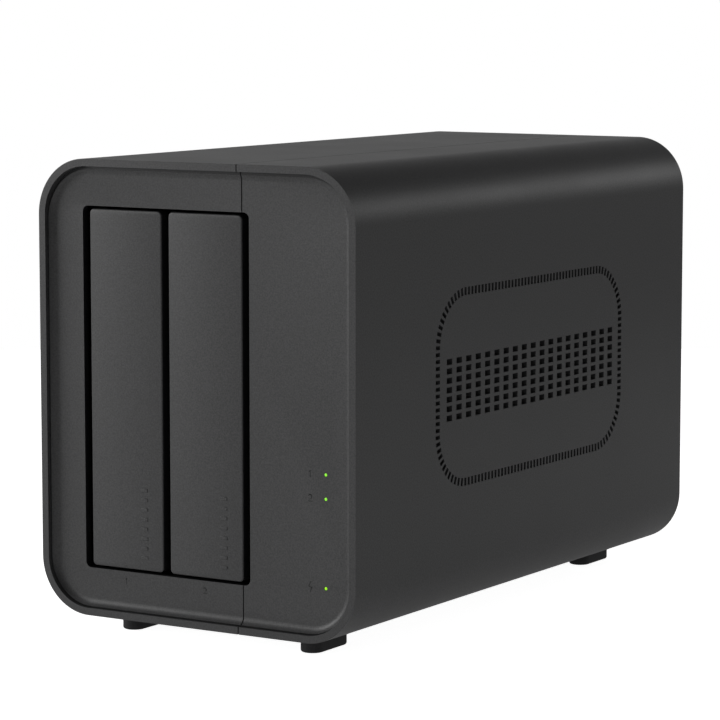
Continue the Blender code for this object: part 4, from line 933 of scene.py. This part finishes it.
def area_light(name, place, aim, size, power, colour=(1, 1, 1)):
    data = bpy.data.lights.new(name, "AREA")
    data.shape = "RECTANGLE"
    data.size, data.size_y = size
    data.energy = power
    data.color = colour
    lamp = bpy.data.objects.new(name, data)
    bpy.context.scene.collection.objects.link(lamp)
    lamp.location = place
    lamp.rotation_euler = (Vector(aim) - Vector(place)).to_track_quat("-Z", "Y").to_euler()
    return lamp


def make_world():
    world = bpy.data.worlds.new("studio")
    bpy.context.scene.world = world
    world.use_nodes = True
    tree = world.node_tree
    background = tree.nodes["Background"]
    background.inputs["Color"].default_value = (1.0, 1.0, 1.0, 1.0)
    place = node(tree, "ShaderNodeTexCoord")
    split = node(tree, "ShaderNodeSeparateXYZ")
    tree.links.new(place.outputs["Generated"], split.inputs["Vector"])
    above = spread(tree, split.outputs["Z"], 1.0, CEILING_LIGHT / HORIZON_LIGHT, *HORIZON_BAND)
    below = spread(tree, split.outputs["Z"], GROUND_LIGHT / HORIZON_LIGHT, 1.0, *GROUND_BAND)
    right = spread(tree, split.outputs["X"], HORIZON_LIGHT, RIGHT_LIGHT, *RIGHT_BAND)
    level = node(tree, "ShaderNodeMath", operation="MULTIPLY")
    tree.links.new(above, level.inputs[0])
    tree.links.new(below, level.inputs[1])
    strength = node(tree, "ShaderNodeMath", operation="MULTIPLY")
    tree.links.new(level.outputs["Value"], strength.inputs[0])
    tree.links.new(right, strength.inputs[1])
    tree.links.new(strength.outputs["Value"], background.inputs["Strength"])
    seen = node(tree, "ShaderNodeBackground")
    seen.inputs["Color"].default_value = (1.0, 1.0, 1.0, 1.0)
    seen.inputs["Strength"].default_value = 1.0
    path = node(tree, "ShaderNodeLightPath")
    mix = node(tree, "ShaderNodeMixShader")
    tree.links.new(path.outputs["Is Camera Ray"], mix.inputs["Fac"])
    tree.links.new(background.outputs["Background"], mix.inputs[1])
    tree.links.new(seen.outputs["Background"], mix.inputs[2])
    tree.links.new(mix.outputs["Shader"], tree.nodes["World Output"].inputs["Surface"])


HORIZON_LIGHT = 0.46
CEILING_LIGHT = 0.05
HORIZON_BAND = (0.24, 0.50)
GROUND_LIGHT = 0.15
GROUND_BAND = (-0.10, 0.08)
RIGHT_LIGHT = 0.26
RIGHT_BAND = (0.0, 0.8)
FLOOR_RADIUS = 0.75
FLOOR_GLOW = 0.95
FLOOR_BOUNCE = 0.20
CAMERA_AZIMUTH = 31.858
CAMERA_ELEVATION = 6.763
CAMERA_DISTANCE = 1.078778
CAMERA_AIM = Vector((-0.006675, -0.002003, SHELL_BOTTOM + 0.073594))
CAMERA_LENS = 158.08


def make_camera():
    azimuth, elevation = math.radians(CAMERA_AZIMUTH), math.radians(CAMERA_ELEVATION)
    level = math.cos(elevation)
    away = Vector((math.sin(azimuth) * level, -math.cos(azimuth) * level, math.sin(elevation)))
    data = bpy.data.cameras.new("camera")
    data.lens = CAMERA_LENS
    data.sensor_width = 36.0
    data.clip_start = 0.01
    camera = bpy.data.objects.new("camera", data)
    bpy.context.scene.collection.objects.link(camera)
    camera.location = CAMERA_AIM + away * CAMERA_DISTANCE
    camera.rotation_euler = (-away).to_track_quat("-Z", "Y").to_euler()
    bpy.context.scene.camera = camera


shell_half("left_shell", -1)
shell_half("right_shell", 1)
for bay_number in TRAYS:
    tray_front(bay_number)
    fine_drive(bay_number)
for foot_name in ("foot_front_left", "foot_front_right", "foot_rear_left", "foot_rear_right"):
    rubber_foot(foot_name)
for pipe_name in ("light_pipe_1", "light_pipe_2"):
    light_lens(pipe_name, DRIVE_LIGHT)
light_lens("light_pipe_power", POWER_LIGHT)
marks()
for socket_name in ("lan_port_1", "lan_port_2"):
    port_contacts(socket_name)
    port_lights(socket_name)
for socket_name in ("usb_port_1", "usb_port_2"):
    usb_tongue(socket_name)
dc_liner()
finish_nodes()
make_floor()
make_world()
area_light("overhead", (-0.15, -0.10, 1.10), (0, 0, 0.1), (1.0, 1.2), 1.8)
area_light("front_left", (-1.15, -0.90, 0.50), (0, 0, 0.08), (0.8, 0.8), 10.5)
area_light("back_right", (0.70, 1.35, 0.52), (0, 0, 0.08), (0.8, 0.35), 1.15)
make_camera()
bpy.context.scene.view_settings.view_transform = "Standard"
